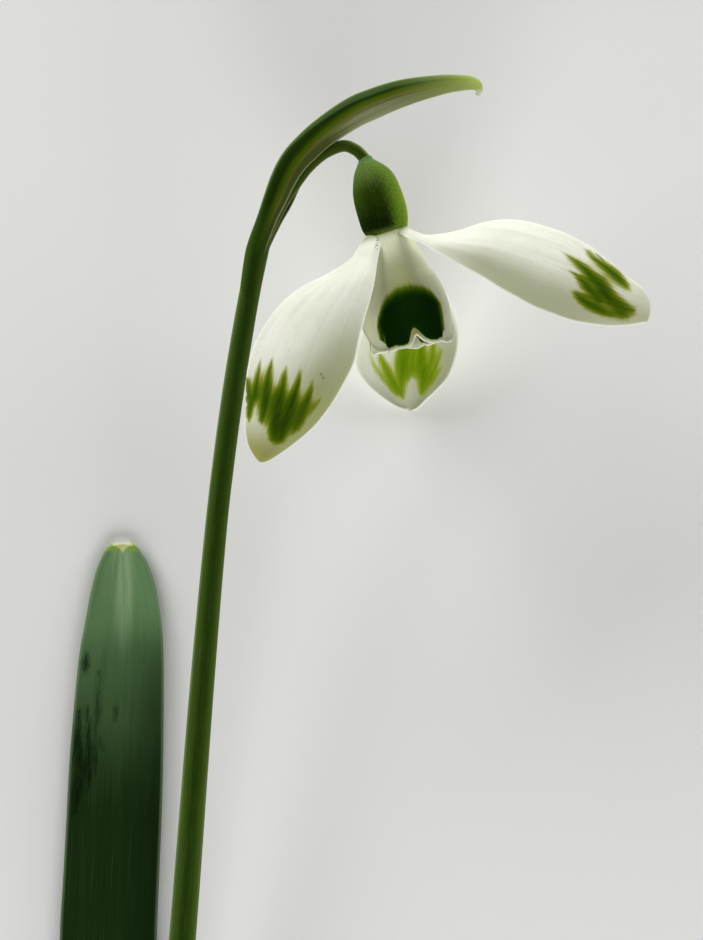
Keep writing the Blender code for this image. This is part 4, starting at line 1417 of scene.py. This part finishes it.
def sheath_finish():
    """Sheath: a thin papery tube, browned where it was cut, with raised lengthwise fibres 0.4 mm apart and
    finer ones of 0.12 mm between."""
    constants = tissue(roughness=0.6, gloss=0.3, share=0.15, depth=0.3)
    made, tree, shader = new_finish("sheath_papery_skin", constants)
    (along,) = stored(tree, "along")
    line, fine = fibres(tree, 0.05, 2.6), fibres(tree, 0.3, 8.0, seed=7.0)
    colour = coats(tree, hex_colour("#e2deba"), [
        ("#cbc794", line, 0.4, 0.7, 1.0),
        ("#b4ab78", fine, 0.5, 0.8, 0.5),
        ("#c3d28f", along, 0.55, 1.0, 0.6),
        ("#a98f5a", along, 0.06, 0.0, 0.6),
    ])
    finish_surface(tree, shader, colour, 0.06, line, fine)
    return made


class SNOWDROP_OT_sheath(bpy.types.Operator):
    """Grow the papery sheath round the foot of the shoot"""

    bl_idname = "snowdrop.sheath"
    bl_label = "Sheath"

    def execute(self, context):
        plant("sheath_skin", sheath_mesh(), "sheath", sheath_finish())
        return {"FINISHED"}


# ---- Stage, in metres.

FLOOR_HALF = 1.5
VIEW_OFFSET = np.array([-0.00375, -0.0237, 0.0])  # from the heart to the middle of the view
SENSOR_WIDTH = 36.0  # of the camera, in millimetres
NEAREST, FARTHEST = 0.01, 10.0  # what the camera sees
LIGHT_WIDTH, LIGHT_HEIGHT = 0.5, 0.25
LIGHT_OFFSETS = {  # from the heart
    "key": (-0.40, 0.36, 0.2),
    "second": (0.42, 0.34, 0.16),
    "fill": (0.03, -0.5, 0.22),
}
AIM_OFFSET = np.array([0.0, -0.02, 0.0])  # from the heart to where the lights point
ROOM_COLOUR, ROOM_STRENGTH = "#d8d8d4", 0.11


def aim(lamp, place, target):
    """Puts a lamp at a place and turns it towards a target."""
    lamp.location = place
    direction = target - place
    yaw = math.atan2(direction[1], direction[0]) - math.pi / 2
    pitch = math.acos(-direction[2] / np.linalg.norm(direction))
    lamp.rotation_euler = (pitch, 0.0, yaw)


class SNOWDROP_OT_stage(bpy.types.Operator):
    """Set a pale floor, three broad soft lights and the camera straight above"""

    bl_idname = "snowdrop.stage"
    bl_label = "Stage"

    def execute(self, context):
        scene = context.scene
        stage = scene.snowdrop_stage
        mesh = bpy.data.meshes.new("floor")
        ends = (-FLOOR_HALF, FLOOR_HALF)
        mesh.from_pydata([(x, y, 0) for y in ends for x in ends], [], [(0, 1, 3, 2)])
        floor = bpy.data.objects.new("floor", mesh)
        scene.collection.objects.link(floor)
        # Floor: plain matt paint, nearly without gloss, so that it shows only soft shadows.
        made, _, _ = new_finish(
            "floor_matt_paint", {"Base Color": stage.floor, "Roughness": 0.9, "Specular IOR Level": 0.2}
        )
        mesh.materials.append(made)

        heart = HEART * MM
        data = bpy.data.cameras.new("camera")
        data.sensor_fit = "AUTO"
        data.sensor_width = SENSOR_WIDTH
        data.lens = SENSOR_WIDTH * stage.distance / stage.view
        data.clip_start, data.clip_end = NEAREST, FARTHEST
        camera = bpy.data.objects.new("camera", data)
        camera.location = heart + VIEW_OFFSET + stage.distance * UP
        scene.collection.objects.link(camera)
        scene.camera = camera

        for name, offset in LIGHT_OFFSETS.items():
            light = bpy.data.lights.new(name + "_light", "AREA")
            light.shape = "RECTANGLE"
            light.size, light.size_y = LIGHT_WIDTH, LIGHT_HEIGHT
            light.energy = getattr(stage, name)
            lamp = bpy.data.objects.new(name + "_light", light)
            aim(lamp, heart + np.array(offset), heart + AIM_OFFSET)
            scene.collection.objects.link(lamp)
        world = bpy.data.worlds.new("studio")
        world.use_nodes = True
        background = world.node_tree.nodes["Background"]
        background.inputs["Color"].default_value = hex_colour(ROOM_COLOUR)
        background.inputs["Strength"].default_value = ROOM_STRENGTH
        scene.world = world
        scene.view_settings.view_transform = "Standard"
        return {"FINISHED"}


class SNOWDROP_PT_panel(bpy.types.Panel):
    """Lists the pieces in the order in which they are grown"""

    bl_idname = "SNOWDROP_PT_panel"
    bl_label = "Snowdrop flower"
    bl_space_type = "VIEW_3D"
    bl_region_type = "UI"
    bl_category = "Snowdrop"

    def draw(self, context):
        for group in GROUPS:
            settings = getattr(context.scene, group)
            box = self.layout.box()
            for key in settings.__annotations__:
                box.prop(settings, key)
        for operator in OPERATORS:
            self.layout.operator(operator.bl_idname)


OPERATORS = (
    SNOWDROP_OT_outer_tepals,
    SNOWDROP_OT_inner_tepals,
    SNOWDROP_OT_stamens,
    SNOWDROP_OT_ovary,
    SNOWDROP_OT_stems,
    SNOWDROP_OT_spathe,
    SNOWDROP_OT_leaf,
    SNOWDROP_OT_sheath,
    SNOWDROP_OT_stage,
)
GROUPS = {
    "snowdrop_petals": SnowdropPetals,
    "snowdrop_greens": SnowdropGreens,
    "snowdrop_stage": SnowdropStage,
}


def register():
    for cls in (*GROUPS.values(), *OPERATORS, SNOWDROP_PT_panel):
        bpy.utils.register_class(cls)
    for name, group in GROUPS.items():
        setattr(bpy.types.Scene, name, bpy.props.PointerProperty(type=group))


def unregister():
    for name in GROUPS:
        delattr(bpy.types.Scene, name)
    for cls in (SNOWDROP_PT_panel, *reversed(OPERATORS), *GROUPS.values()):
        bpy.utils.unregister_class(cls)


def main():
    register()
    for operator in OPERATORS:
        family, name = operator.bl_idname.split(".")
        if getattr(getattr(bpy.ops, family), name)() != {"FINISHED"}:
            raise RuntimeError(f"{operator.bl_label} did not finish")


if __name__ == "__main__":
    main()
